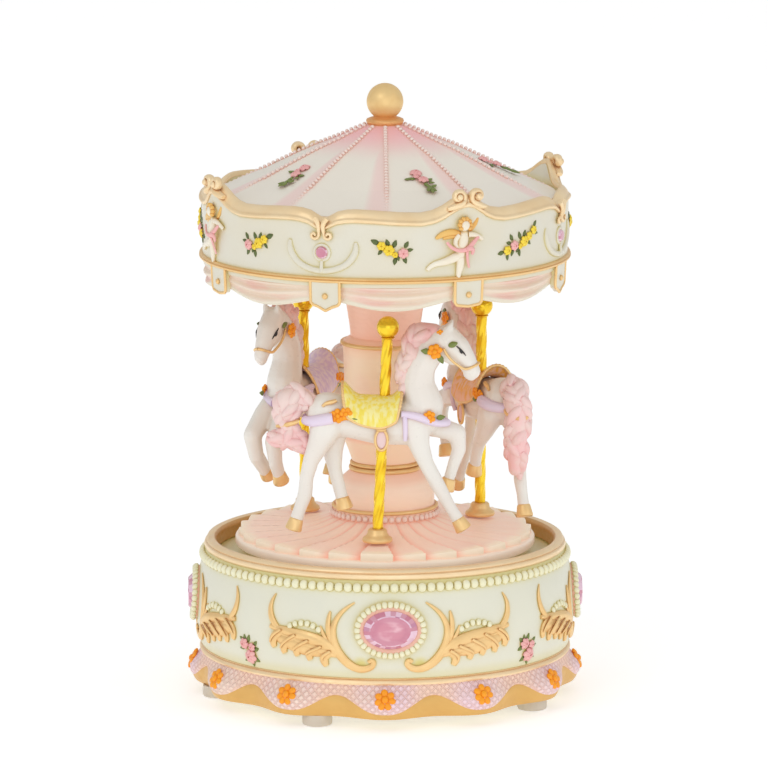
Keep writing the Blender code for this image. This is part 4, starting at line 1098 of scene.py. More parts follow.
for number in range(8):
    bearing = 2 + 45 * number
    side = 1 if number % 2 else -1
    marks = [(kind, side * x, z, size, side * turn) for kind, x, z, size,
             turn in (long_garland if number in (1, 6) else garland)]
    spray(marks, lambda piece, at=bearing: wrapped(piece, at, 130.6, wall_radius), kinds)
dark_leaf = painted("dark_leaf_paint", tint(96, 110, 52), tint(60, 76, 34), tint(36, 44, 18), 0.7 * MM)
done(merged(kinds["r"], "canopy_roses"), rose_pink, "carousel", "blush_resin", angle=80)
done(merged(kinds["y"], "canopy_yellow_roses"), petal_yellow, "carousel", "cream_resin", angle=80)
done(merged(kinds["l"], "canopy_leaves"), dark_leaf, "carousel", "cream_resin", angle=80)

# %% Cherubs
cherub_lines = [
    [(-0.6, 5.4, 1.8, 0.6), (-0.9, 3.4, 3.2, 0.6), (-1.4, 0.8, 3.1, 0.6), (-2.0, -1.4, 2.8, 0.5),
     (-2.2, -2.4, 2.2, 0.4)],
    [(0.3, 4.4, 1.7, 0.9), (2.2, 4.5, 1.4, 1.0), (4.2, 3.2, 1.1, 0.8), (4.7, 2.8, 1.0, 0.6)],
    [(-2.2, 4.2, 1.6, 0.6), (-4.0, 2.8, 1.3, 0.8), (-3.4, 0.9, 1.2, 1.1), (-2.0, 0.4, 1.0, 1.3)],
    [(-2.2, -1.2, 2.7, 0.5), (-4.8, -2.4, 2.3, 0.6), (-7.6, -3.0, 1.6, 0.4), (-9.8, -3.4, 1.4, 0.3),
     (-10.9, -4.8, 1.1, 0.3)],
    [(-1.9, -1.8, 2.6, 0.5), (-1.4, -4.2, 2.1, 0.6), (-2.5, -6.0, 1.6, 0.4), (-2.1, -7.2, 1.2, 0.3)]]
body_model = strokes("cherub_body", cherub_lines, 0.85, 3)
head = ball("cherub_head", (3.0, 2.8, 3.2), 16, 12)
head.data.transform(Matrix.Translation((-0.9 * MM, -1.2 * MM, 7.0 * MM)))
body_model = merged([body_model, head], "cherub_body")
wing_model = strokes("cherub_wings", [
    [(-1.9, 4.6, 1.2, 0.5), (-4.4, 5.8, 2.3, 0.6), (-7.0, 4.8, 1.9, 0.4), (-8.6, 3.6, 0.7, 0.3)],
    [(-1.9, 3.8, 1.0, 0.4), (-4.2, 4.3, 1.5, 0.5), (-6.6, 3.6, 0.9, 0.3)],
    [(0.8, 5.2, 1.0, 0.3), (2.6, 6.6, 1.7, 0.4), (3.4, 8.6, 0.8, 0.3)]], 0.6, 3)
curls = [wing_model]
for turn in range(-40, 221, 37):
    lock = ball("lock", (1.4, 1.5, 1.3))
    spot = Vector((-0.9 + 1.45 * math.cos(math.radians(turn)), -1.6,
                   7.2 + 1.5 * math.sin(math.radians(turn)))) * MM
    lock.data.transform(Matrix.Translation(spot))
    curls.append(lock)
wing_model = merged(curls, "cherub_wings")
bow_model = strokes("cherub_bow", [
    [(-5.8, 2.6, 0.8, 1.2), (-4.6, 0.8, 1.0, 1.6), (-2.2, 0.0, 1.0, 2.0), (0.2, 0.6, 1.5, 2.0),
     (1.6, 2.2, 1.3, 1.4), (3.2, 3.6, 0.9, 1.2)],
    [(-0.6, 0.4, 1.3, 2.2), (0.8, 1.3, 1.6, 2.0), (1.9, 0.2, 1.3, 1.6), (1.2, -1.0, 0.8, 1.4)],
    [(-0.4, 0.4, 0.9, 2.0), (-0.2, -2.2, 0.8, 1.2), (0.7, -4.6, 0.7, 0.8)]], 0.6, 2)
kinds = {"body": [], "wings": [], "bow": []}
for quarter in range(4):
    for kind, model in (("body", body_model), ("wings", wing_model), ("bow", bow_model)):
        kinds[kind].append(wrapped(twin_of(model), PEAK + 90 * quarter, 130.2, wall_radius))
for model in (body_model, wing_model, bow_model):
    bpy.data.objects.remove(model)
cherub_paint = painted("cherub_paint", tint(244, 238, 220), tint(240, 218, 186), tint(230, 200, 140),
                       1.3 * MM)
wing_paint = painted("wing_paint", tint(240, 196, 112), tint(230, 152, 48), tint(196, 104, 20), 0.8 * MM)
done(merged(kinds["body"], "cherubs"), cherub_paint, "carousel", "cream_resin", angle=80)
done(merged(kinds["wings"], "cherub_wings"), wing_paint, "carousel", "gilt", angle=80)
done(merged(kinds["bow"], "cherub_bows"), rose_pink, "carousel", "blush_resin", angle=80)

# %% [markdown]
# ## Roof
# The roof is a shallow cone, pulled in a little between its ten ribs like the cloth of a tent. A row of
# tiny pearls runs down each rib, and every other panel has a sprig of roses. The finish is pink
# near the top and beside the ribs, which it finds from the distance and the bearing of each point.

# %% Roof
RIBS = 10
ROOF_TOP, ROOF_EDGE = 4.7, 46.9
SPRIG_REACH = 32.5
ROOF_RADII = (4.7, 9.0, 13.2, 19.8, 28.0, 36.3, 41.0, 44.5, 46.9)
ROOF_HEIGHTS = (158.1, 156.3, 154.4, 151.8, 147.9, 143.8, 141.3, 139.6, 138.5)


def roof_height(radius):
    return float(np.interp(radius, ROOF_RADII, ROOF_HEIGHTS))


roof_rings = [ROOF_TOP + (ROOF_EDGE - ROOF_TOP) * i / 22 for i in range(23)]
roof_outline = [(radius,
                 roof_height(radius))
                 for radius in roof_rings] + [(46.9, 139.2), (36, 144.2), (19, 149.9), (12.5, 151.8),
                                              (4.7, 154)]
roof = turned("roof_tent", roof_outline, 360)
for corner in roof.data.vertices:
    spot = corner.co
    reach = math.hypot(spot.x, spot.y) / MM
    if spot.z > (roof_height(reach) - 0.5) * MM and reach > 8:
        sag = abs(math.sin(RIBS / 2 * math.atan2(spot.x, -spot.y))) ** 0.7
        spot.z -= 0.55 * sag * min(1.0, (reach - 8) / 12) * min(1.0, (ROOF_EDGE - reach) / 4) * MM
roof_paint = Finish("roof_paint", 0.4, coat=0.15)
out_here, bearing_here = roof_paint.polar()[:2]
cloud = roof_paint.noise(45, 3)
drifted = roof_paint.sums("ADD", out_here, roof_paint.sums("MULTIPLY", cloud, 7 * MM))
top_share = roof_paint.span(drifted, 27 * MM, 10 * MM, 0, 1.0)
beside = roof_paint.sums("COSINE",
                         roof_paint.sums("ADD", roof_paint.sums("MULTIPLY", bearing_here, RIBS), 0.45))
rib_share = roof_paint.span(beside, 0.5, 1.0, 0, 0.4)
roof_coat = roof_paint.mix(cloud, tint(250, 244, 230), tint(244, 236, 222))
roof_coat = roof_paint.mix(roof_paint.sums("MAXIMUM", top_share, rib_share), roof_coat, tint(252, 190, 192))
# Painted shade darkens the creases.
roof_coat = roof_paint.crease_shaded(roof_coat, tint(232, 192, 166), 1.3 * MM, 0.6)
roof_paint.colour(roof_coat).bump(roof_paint.noise(260), 0.08 * MM, 0.4).rough(0.34, 0.48)
done(roof, roof_paint, "carousel", "white_resin", "roof", angle=50)

bead = ball("rib_pearl", (1.25, 1.2, 1.15), 6, 4)
spots = []
for rib in range(RIBS):
    for step in range(33):
        reach = 5.9 + step * 1.25
        spots.append(around(360 / RIBS * rib + 0.6, reach, roof_height(reach) + 0.25))
rib_paint = painted("rib_pearl_paint", tint(250, 232, 222), tint(248, 220, 212), tint(238, 190, 178),
                    0.7 * MM, 0.34)
done(repeated(bead, spots, "roof_ribs"), rib_paint, "carousel", "white_resin", angle=80)

roof_sprig = [("r", 0, 6.0, 1.1, 0), ("r", 0.9, 2.2, 1.0, 40), ("r", -0.6, 4.0, 0.6, 80),
              ("l", -1.4, 3.2, 1.3, -80), ("l", -3.4, 3.4, 1.1, -100),
              ("l", 2.4, 2.4, 1.3, 70), ("l", 3.0, 0.8, 1.0, 110), ("l", 1.2, 0.2, 1.4, 172),
              ("l", 1.8, -2.0, 1.4, 168), ("l", 2.2, -4.2, 1.5, 150),
              ("l", 2.0, -4.2, 1.4, -140), ("l", 2.8, -3.4, 1.3, 60), ("l", 2.2, -5.8, 1.1, 180)]
kinds = {"r": [], "y": [], "l": []}


def on_roof(piece, bearing):
    piece.data.transform(around(bearing, SPRIG_REACH, roof_height(SPRIG_REACH) + 0.05, -70))
    return piece


for number in range(5):
    spray(roof_sprig, lambda piece, at=18 + 72 * number: on_roof(piece, at), kinds)
done(merged(kinds["r"], "roof_roses"), rose_pink, "carousel", "blush_resin", angle=80)
done(merged(kinds["l"], "roof_leaves"), leaf_green, "carousel", "cream_resin", angle=80)

# %% Finial
finial = turned("finial_ball",
                [(0.02, 158.0), (4.7, 158.0), (5.0, 158.4), (5.2, 159.0), (5.0, 159.5), (4.3, 159.8),
                 (3.3, 160.1), (3.0, 160.5)]
                + [(5.03 * math.cos(turn),
                    164.3 + 5.03 * math.sin(turn))
                    for turn in np.linspace(-0.9, 1.5, 20)] + [(0.02, 169.33)], 64)
finial_gold = gilded("finial_gold_paint", tint(232, 194, 132), tint(220, 176, 108), 0.5, 0.42)
# Painted shade: the underside of the ball and its collar turn darker orange.
underside_shade = finial_gold.span(finial_gold.axes()[2], 161.8 * MM, 160.0 * MM, 0, 0.6)
finial_gold.colour(finial_gold.mix(underside_shade,
                                   finial_gold.mix(finial_gold.noise(300), tint(248, 218, 158),
                                                   tint(238, 198, 132)), tint(226, 146, 80)))
done(finial, finial_gold, "carousel", "gilt", "finial", angle=50)
print("ribs:", RIBS, "and rib pearls:", len(spots))

# %% [markdown]
# ## Poles
# Each pole is a bar of brass with a rope twist. It starts as a turned bar with many rings, and every ring
# is made slightly five-lobed and turned a little further than the one below. Poles lean by the
# small amounts they were set by hand, so each place along a pole has its own sideways shift.

# %% Poles, knobs and feet
POLE_REACH = 28.0
POLE_FOOT_Z, POLE_TOP_Z = 49.0, 103.3
HORSE_WIDTH = 0.88
RIDERS = ((-2, -1.1, 1.6), (109, 0.4, -0.6), (233, -0.2, 0.4))
HORSE_TURNS = (0, 4, 9)


def pole_shift(rider, z):
    """Sideways shift in mm of a leaning pole at a height."""
    foot, top = RIDERS[rider][1:]
    return foot + (top - foot) * (z - POLE_FOOT_Z) / (POLE_TOP_Z - POLE_FOOT_Z)


brass = Finish("polished_brass", 0.24, 0.7)
coat = brass.mix(brass.span(brass.noise(200, 3), 0.35, 0.7), tint(255, 220, 60), tint(246, 200, 40))
# Painted shade darkens the creases of the rope twist.
brass.colour(brass.crease_shaded(coat, tint(190, 128, 14), 0.7 * MM, 0.8))
brass.bump(brass.noise(300), 0.02 * MM, 0.3).rough(0.18, 0.24, 120)
twist_rows = [POLE_FOOT_Z + (POLE_TOP_Z + 0.7 - POLE_FOOT_Z) * i / 110 for i in range(111)]
poles, knobs, pole_feet = [], [], []
for rider, (bearing, foot, top) in enumerate(RIDERS):
    pole = turned("pole",
                  [(0.05, POLE_FOOT_Z)] + [(1.4, z) for z in twist_rows] + [(0.05, POLE_TOP_Z + 0.7)], 40)

    def rope(point, rider=rider):
        z = point.z / MM
        lobe = 1 + 0.085 * math.cos(5 * math.atan2(point.y, point.x) - 1.0 * z)
        return Vector((point.x * lobe + pole_shift(rider, z) * MM, point.y * lobe, point.z))
    reshape(pole, rope)
    knob = turned("knob", [(0.05, 103.3), (1.7, 103.4), (1.9, 103.7)]
                  + [(3.05 * math.cos(turn),
                      106.45 + 3.05 * math.sin(turn))
                      for turn in np.linspace(-1.0, 1.5, 16)] + [(0.05, 109.5)], 36)
    knob.data.transform(Matrix.Translation((pole_shift(rider, 106.4) * MM, 0, 0)))
    cup = turned("pole_cup",
                 [(1.2, 47.3), (3.9, 47.4), (4.15, 47.8), (4.0, 48.5), (3.2, 49.0), (2.7, 49.8),
                  (2.6, 50.6), (2.2, 51.0), (1.2, 51.0)], 40)
    cup.data.transform(Matrix.Translation((foot * MM, 0, 0)))
    for piece in (pole, knob, cup):
        piece.data.transform(around(bearing, POLE_REACH))
    poles.append(pole)
    knobs.append(knob)
    pole_feet.append(cup)
done(merged(poles, "pole_bars"), brass, "carousel", "polished_brass", "pole_1", "pole_2", "pole_3", angle=60)
done(merged(knobs, "pole_knobs"), brass, "carousel", "polished_brass", "pole_knob_1", "pole_knob_2",
     "pole_knob_3", angle=60)
done(merged(pole_feet, "pole_cups"), gold, "carousel", "gilt", "pole_foot_1", "pole_foot_2", "pole_foot_3",
     angle=50)

# %% [markdown]
# ## Horses
# Each horse is modelled walking to the right with its pole at the origin, from chains of balls along
# the neck, the trunk and each leg. A voxel remesh melts the balls into one skin, and a smooth
# pass takes out the lumps. The three horses differ only in some legs and the tail: two walk, one leaps.

# %% Horse body
def limbs(name, chains, voxel, width=1.0, passes=6):
    """One skin over chains of balls; each chain holds points of (x, y, z, radius) in mm."""
    balls = []
    for chain in chains:
        for (x0, y0, z0, r0), (x1, y1, z1, r1) in zip(chain, chain[1:]):
            gap = math.dist((x0, y0, z0), (x1, y1, z1))
            count = max(1, round(gap / (0.28 * min(r0, r1) + 0.2)))
            for step in range(count + 1):
                share = step / count
                place = Vector((x0 + (x1 - x0) * share, y0 + (y1 - y0) * share, z0 + (z1 - z0) * share)) * MM
                radius = r0 + (r1 - r0) * share
                bead = ball("lump", (2 * radius, 2 * radius * width, 2 * radius), 12, 8)
                bead.data.transform(Matrix.Translation(place))
                balls.append(bead)
    skin = merged(balls, name)
    melt = skin.modifiers.new("melt", "REMESH")
    melt.mode = "VOXEL"
    melt.voxel_size = voxel * MM
    soften = skin.modifiers.new("soften", "SMOOTH")
    soften.iterations = passes
    soften.factor = 0.6
    select_only(skin)
    bpy.ops.object.modifier_apply(modifier="melt")
    bpy.ops.object.modifier_apply(modifier="soften")
    return skin


trunk = [(11.0, 0, 82.4, 5.6), (7.5, 0, 80.5, 6.5), (0, 0, 80.5, 6.4), (-8, 0, 81.5, 5.6),
         (-14.6, 0, 82.6, 6.0)]
horse_chains = [
    trunk,
    [(11.4, 0, 85.2, 5.6), (9.9, 0, 90.6, 4.6), (10.2, 0, 95.5, 4.4), (12.6, 0, 99.6, 4.3),
     (15.8, 0, 102.6, 4.1)],
    [(17.6, 0, 103.4, 3.9), (20.4, 0, 101.0, 3.6), (22.6, 0, 98.0, 2.9), (24.2, 0, 95.4, 2.4),
     (24.7, 0, 94.5, 2.2)],
    [(17.6, 0, 100.4, 3.3), (19.4, 0, 98.8, 2.7)],
    [(24.3, 0, 93.4, 1.6), (23.4, 0, 93.8, 1.4)],
    [(-14.6, -2.4, 80.0, 4.6), (-16.8, -2.8, 75.0, 3.2), (-19.0, -2.8, 70.2, 2.3), (-20.2, -2.8, 65.5, 2.0),
     (-20.6, -2.8, 61.0, 2.1),
     (-22.0, -2.8, 57.0, 1.8), (-22.9, -2.8, 54.2, 1.9)],
    [(17.6, -1.6, 105.4, 1.5), (18.6, -1.9, 107.0, 1.0), (19.2, -2.0, 108.3, 0.45)],
    [(17.6, 1.6, 105.4, 1.5), (18.6, 1.9, 107.0, 1.0), (19.2, 2.0, 108.3, 0.45)]]
hind_back = [(-13.0, 2.4, 79.0, 4.4), (-13.4, 2.8, 72.6, 3.0), (-12.8, 2.8, 67.0, 2.0),
             (-11.6, 2.8, 62.0, 1.9), (-10.8, 2.8, 59.0, 1.8)]
hind_lifted = [(-13.0, 2.4, 79.0, 4.4), (-9.4, 2.8, 73.4, 3.0), (-5.4, 2.8, 69.4, 2.2),
               (-3.6, 2.8, 65.6, 1.9), (-2.6, 2.8, 62.6, 1.9)]
fore_planted = [(9.2, -2.4, 79.6, 4.0), (10.4, -2.6, 74.4, 2.9), (12.2, -2.6, 69.6, 2.2),
                (15.4, -2.6, 63.6, 2.1), (18.6, -2.6, 57.8, 1.7),
                (20.8, -2.6, 54.2, 1.8)]
fore_lifted = [(10.2, 2.4, 80.4, 3.9), (15.4, 2.6, 78.6, 2.9), (20.4, 2.6, 77.0, 2.6),
               (21.0, 2.6, 72.6, 2.0), (19.4, 2.6, 68.0, 1.7), (18.3, 2.6, 64.4, 1.6)]
fore_leaping = [(10.8, -2.4, 79.8, 4.3), (18.0, -2.8, 76.6, 3.4), (24.6, -2.9, 72.2, 2.8),
                (22.4, -2.9, 66.2, 2.4), (17.6, -2.9, 61.6, 2.1)]
fore_leaping_far = [(10.8, 2.4, 79.8, 4.2), (17.6, 2.7, 76.0, 3.2), (22.6, 2.7, 70.6, 2.7),
                    (21.6, 2.7, 64.6, 2.2), (19.8, 2.7, 61.4, 2.0)]
leg_sets = [(hind_back, fore_planted, fore_lifted), (hind_lifted, fore_planted, fore_lifted),
            (hind_back, fore_leaping, fore_leaping_far)]
horse_models = [limbs("horse_model", horse_chains + list(legs), 0.42, HORSE_WIDTH) for legs in leg_sets]
horse_paint = painted("horse_white_paint", tint(240, 236, 228), tint(236, 224, 214), tint(228, 208, 188),
                      2.4 * MM, 0.34)


def hoof(upper, lower):
    """A hoof between two points in mm, wider at the ground."""
    upper, lower = Vector(upper) * MM, Vector(lower) * MM
    along = lower - upper
    bpy.ops.object.select_all(action="DESELECT")
    bpy.ops.mesh.primitive_cone_add(vertices=20, radius1=1.8 * MM, radius2=2.4 * MM, depth=along.length,
                                    location=(upper + lower) / 2,
                                    rotation=along.to_track_quat("Z", "Y").to_euler())
    piece = named("hoof")
    rounding = piece.modifiers.new("rounding", "BEVEL")
    rounding.width = 0.45 * MM
    rounding.segments = 3
    select_only(piece)
    bpy.ops.object.modifier_apply(modifier="rounding")
    return piece


HOOF = 3.3
hoof_models = []
for legs in leg_sets:
    hooves = []
    for leg in [horse_chains[5]] + list(legs):
        before, end = Vector(leg[-2][:3]), Vector(leg[-1][:3])
        along = (end - before).normalized()
        hooves.append(hoof(end - 0.2 * along, end + HOOF * along))
    hoof_models.append(merged(hooves, "hoof_model"))
print("faces in the horse's skin:", len(horse_models[0].data.polygons))

# %% [markdown]
# ## Mane, tail and tack
# Hair is a soft core with tapered locks laid over it, each lock a curved tube that thins to its end. The
# saddle cloth is a grid bent round the trunk, a little larger than the trunk is, and turned up at both
# ends. Straps, edges and the bridle are thin tubes that follow the skin.

# %% Hair
mane_core = [(14.2, 0, 105.0, 2.6), (10.8, 0, 105.0, 3.0), (8.4, 0, 101, 3.1), (7.4, 0, 96.4, 3.0),
             (6.8, 0, 92, 2.6), (7.0, 0, 88.8, 1.8)]
tail_cores = [
    [[(-19.4, 0, 86.0, 2.4), (-22.4, 0, 87.2, 3.2), (-25.2, 0, 86.0, 3.6), (-25.6, 0, 83.0, 3.3),
      (-25.2, 0, 80.0, 2.3), (-24.4, 0, 77.0, 2.9),
      (-26.4, 0, 75.4, 2.6), (-28.2, 0, 75.8, 1.6)], [(-24.0, 0, 76.0, 2.8), (-21.6, 0, 74.4, 2.0)]],
    [[(-19.4, 0, 86.4, 2.6), (-22.4, 0, 86.8, 3.4), (-24.6, 0, 83.6, 3.8), (-25.0, 0, 79.0, 3.6),
      (-24.6, 0, 74.0, 3.2), (-24.2, 0, 69.0, 2.9),
      (-23.4, 0, 64.6, 2.1)]],
    [[(-19.4, 0, 86.0, 2.4), (-22.4, 0, 87.2, 3.2), (-24.8, 0, 85.0, 3.4), (-25.2, 0, 80.4, 2.9),
      (-24.6, 0, 76.0, 2.6), (-23.6, 0, 72.6, 1.8)]]]


def tufts(core, chance, density):
    """Curled locks that cover a core of hair: each starts on the core and winds off it."""
    lines = []
    for (x0, y0, z0, r0), (x1, y1, z1, r1) in zip(core, core[1:]):
        along = Vector((x1 - x0, 0, z1 - z0)).normalized()
        across = Vector((along.z, 0, -along.x))
        for number in range(density):
            share = (number + chance.random()) / density
            turn = chance.uniform(0, 2 * math.pi)
            middle = Vector((x0 + (x1 - x0) * share, 0, z0 + (z1 - z0) * share))
            radius = r0 + (r1 - r0) * share
            line = []
            for step, thick in enumerate((0.8, 1.5, 1.55, 1.2, 0.5)):
                sweep = turn + (0.35 * step if number % 2 else -0.35 * step)
                out = across * math.cos(sweep) + Vector((0, 0.9 * math.sin(sweep), 0))
                spot = middle + out * (radius + (-0.6, -0.5, -0.45, -0.45,
                                                 -0.5)[step]) + along * (1.2 * step - 1.5)
                line.append((*spot, thick))
            lines.append(line)
    return lines


hair_models = []
for rider, tails in enumerate(tail_cores):
    chance = random.Random(11 + rider)
    lines = tufts(mane_core, chance, 7)
    for core in tails:
        lines += tufts(core, chance, 6)
    hair_models.append(merged([limbs("hair_core", [mane_core] + tails, 0.5, 0.9, 3), tubes("locks", lines)],
                              "hair_model"))
hair_paint = Finish("hair_paint", 0.42, coat=0.1)
hair_level = hair_paint.axes()[2]
hair_blots = hair_paint.span(hair_paint.noise(190, 3), 0.38, 0.64)
mane_pink = hair_paint.ramp(hair_level, 70 * MM, 109 * MM,
                            [(70 * MM, tint(248, 198, 196)), (109 * MM, tint(246, 178, 178)),
                             (88 * MM, tint(242, 212, 208)),
                                                            (98 * MM, tint(242, 212, 204)),
                                                            (104 * MM, tint(246, 200, 196))])
mane_pink = hair_paint.mix(hair_paint.sums("MULTIPLY", hair_blots, 0.5), mane_pink, tint(240, 224, 214))
# Painted shade darkens the creases between the locks.
hair_paint.colour(hair_paint.crease_shaded(mane_pink, tint(240, 180, 182), 1.2 * MM, 0.45))
hair_paint.bump(hair_paint.noise(420, 3), 0.16 * MM, 0.7).rough(0.38, 0.52)


# %% Saddle, straps and bridle
def on_trunk(x, turn, lift=0.0):
    """A point on the trunk in mm, from x along it and a turn in degrees from the top."""
    xs = [mark[0] for mark in reversed(trunk)]
    middle = float(np.interp(x, xs, [mark[2] for mark in reversed(trunk)]))
    radius = float(np.interp(x, xs, [mark[3] for mark in reversed(trunk)])) + lift
    angle = math.radians(turn)
    sideways = HORSE_WIDTH * radius * math.sin(angle) + 0.06 * radius * math.sin(angle)
    return x, sideways, middle + radius * math.cos(angle)


def turned_up(x, turn):
    """How far in mm the saddle stands off the back: up at the cantle behind and at the pommel in front."""
    behind = max(0.0, min(1.0, (-x - 5.6) / 4.2)) ** 1.6
    ahead = max(0.0, min(1.0, (x - 2.6) / 2.6)) ** 1.6
    return (2.9 * behind + 2.0 * ahead) * math.exp(-(turn / 42) ** 2)


CLOTH_TURN = 96


def cloth_place(across, down):
    """Where a point of the cloth, -1 to 1 both ways, lies: x in mm and turn in degrees."""
    reach = CLOTH_TURN * (1 - 0.16 * abs(across) ** 2.5)
    x = -2.4 + across * (7.6 + 0.5 * math.cos(2 * down)) * (1 - 0.10 * abs(down) ** 3)
    return x, down * reach


bpy.ops.object.select_all(action="DESELECT")
bpy.ops.mesh.primitive_grid_add(x_subdivisions=26, y_subdivisions=44, size=2)
cloth_model = named("cloth_model")
for corner in cloth_model.data.vertices:
    x, turn = cloth_place(corner.co.x, corner.co.y)
    corner.co = Vector(on_trunk(x, turn, 0.65 + turned_up(x, turn))) * MM
thickness = cloth_model.modifiers.new("thickness", "SOLIDIFY")
thickness.thickness = 0.7 * MM
thickness.offset = 0
select_only(cloth_model)
bpy.ops.object.modifier_apply(modifier="thickness")


def cloth_edge(across, down):
    """A point of the cloth's edge in mm, where the trim is laid."""
    x, turn = cloth_place(across, down)
    return on_trunk(x, turn, 0.7 + turned_up(x, turn))


sides = np.linspace(-1, 1, 25)
edges = [[(-1, v) for v in sides], [(u, 1) for u in sides], [(1, -v) for v in sides],
         [(-u, -1) for u in sides]]
edge_lines = [[(*cloth_edge(u, v), 0.42) for u, v in edge] for edge in edges]
beads = []
for u, v in edges[0][4:-4] + edges[2][4:-4]:
    bead = ball("edge_bead", (1.0, 1.0, 1.0), 8, 5)
    bead.data.transform(Matrix.Translation(Vector(cloth_edge(u, v)) * MM))
    beads.append(bead)
stirrups = []
for side in (-1, 1):
    stirrup = ball("stirrup", (3.2, 1.1, 5.4), 16, 10)
    stirrup.data.transform(Matrix.Translation(Vector((0.2, side * 5.7, 76.6)) * MM))
    stirrups.append(stirrup)
    loop = [(0.2 + 1.7 * math.cos(t), side * 5.9, 76.5 + 2.9 * math.sin(t),
             0.4) for t in np.linspace(0, 2 * math.pi, 17)]
    edge_lines.append(loop)
    edge_lines.append([(-0.9, side * 5.8, 79.6, 0.6), (0.2, side * 6.1, 79.0, 0.7),
                       (1.3, side * 5.8, 79.6, 0.6)])
    edge_lines.append([(16.9, side * 3.4, 101.2, 0.38), (18.2, side * 3.6, 98.6, 0.38),
                       (20.8, side * 2.9, 96.6, 0.38), (22.6, side * 2.5, 95.2, 0.38),
                       (24.6, side * 2.2, 96.0, 0.38), (26.0, side * 1.3, 96.6, 0.38), (26.4, 0, 96.8, 0.38)])
    edge_lines.append([(-12.0, side * 4.0, 87.0, 0.5), (-13.4, side * 4.4, 86.2, 0.8),
                       (-14.6, side * 4.4, 86.8, 0.5), (-15.8, side * 4.5, 85.4, 0.4)])
    edge_lines.append([(-22.4, side * 2.4, 80.9, 0.6), (-24.4, side * 3.3, 80.2, 0.75),
                       (-26.6, side * 2.6, 79.6, 0.7), (-28.2, side * 1.0, 79.4, 0.6)])
trim_model = merged([tubes("trim", edge_lines)] + beads, "trim_model")
strap_lines = []
for side in (-1, 1):
    strap_lines.append([(*on_trunk(-13.0, side * 90, 0.0), 1.5), (*on_trunk(-15.4, side * 96, 0.0), 2.0),
                        (-18.6, side * 4.2, 80.6, 1.7), (-20.8, side * 1.6, 81.2, 1.2)])
    strap_lines.append([(*on_trunk(5.6, side * 62, 0.1), 0.9), (*on_trunk(9.4, side * 72, 0.1), 1.1),
                        (13.4, side * 4.6, 81.2, 1.3), (16.6, side * 2.8, 80.6, 1.2),
                        (17.8, 0, 80.4, 1.1)])
    strap_lines.append([(*on_trunk(6.4, side * 60, 0.1), 0.7), (*on_trunk(6.8, side * 95, 0.1), 0.8),
                        (*on_trunk(6.6, side * 130, 0.1), 0.6)])
strap_model = tubes("strap_model", strap_lines)

eye_lines = []
for side in (-1, 1):
    eye_lines.append([(20.4, side * 3.15, 101.9, 0.12), (21.3, side * 3.15, 101.2, 0.3),
                      (22.2, side * 2.9, 100.3, 0.3), (22.9, side * 2.5, 99.2, 0.1)])
    eye_lines.append([(21.4, side * 3.1, 101.0, 0.3), (21.6, side * 3.1, 100.3, 0.42),
                      (21.9, side * 2.95, 99.9, 0.2)])
eye_model = tubes("eye_model", eye_lines)

tack_marks = [("y", 14.6, -4.3, 100.6, 1.15, 20), ("y", 14.9, 4.3, 100.6, 1.15, 20),
              ("y", -11.6, -5.4, 83.0, 1.1, 0), ("y", -9.4, -5.8, 83.6, 1.0, 30),
              ("y", -13.6, -5.4, 82.2, 0.9, 60), ("y", -11.6, 5.4, 83.0, 1.1, 0),
              ("y", -9.4, 5.8, 83.6, 1.0, 30), ("y", 13.2, -5.2, 82.8, 0.95, 0),
              ("y", 13.2, 5.2, 82.8, 0.95, 0), ("y", 16.0, -2.4, 105.2, 0.6, 0),
              ("l", 13.2, -4.3, 100.4, 1.1, -80), ("l", 15.6, -4.2, 99.4, 1.1, 150),
              ("l", 18.4, -3.5, 102.0, 1.1, 70), ("l", -7.8, -6.0, 82.4, 1.3, 100),
              ("l", 15.2, -4.6, 82.4, 1.0, 80), ("l", 11.4, -5.5, 82.6, 1.0, -90),
              ("l", -14.8, -5.4, 80.6, 1.1, -120), ("l", 13.2, 4.3, 100.4, 1.1, -80),
              ("l", 18.4, 3.5, 102.0, 1.1, 70), ("l", -7.8, 6.0, 82.4, 1.3, 100),
              ("l", 15.2, 4.6, 82.4, 1.0, 80)]
blooms, sprigs = [], []
for kind, x, y, z, size, turn in tack_marks:
    face = Matrix.Rotation(math.pi if y > 0 else 0.0, 4, "Z") @ Matrix.Rotation(math.radians(turn), 4, "Y")
    made = twin_of(flower_model if kind == "y" else leaf_model,
                   Matrix.Translation(Vector((x, y, z)) * MM) @ face @ Matrix.Scale(1.05 * size, 4))
    (blooms if kind == "y" else sprigs).append(made)
bloom_model, sprig_model = merged(blooms, "bloom_model"), merged(sprigs, "sprig_model")

# %% [markdown]
# ## Three riders' colours
# Each horse has a saddle in its own colour: yellow, orange or lilac. The skins, made with different legs,
# are placed one by one, and pieces that share a paint are joined over all three horses.

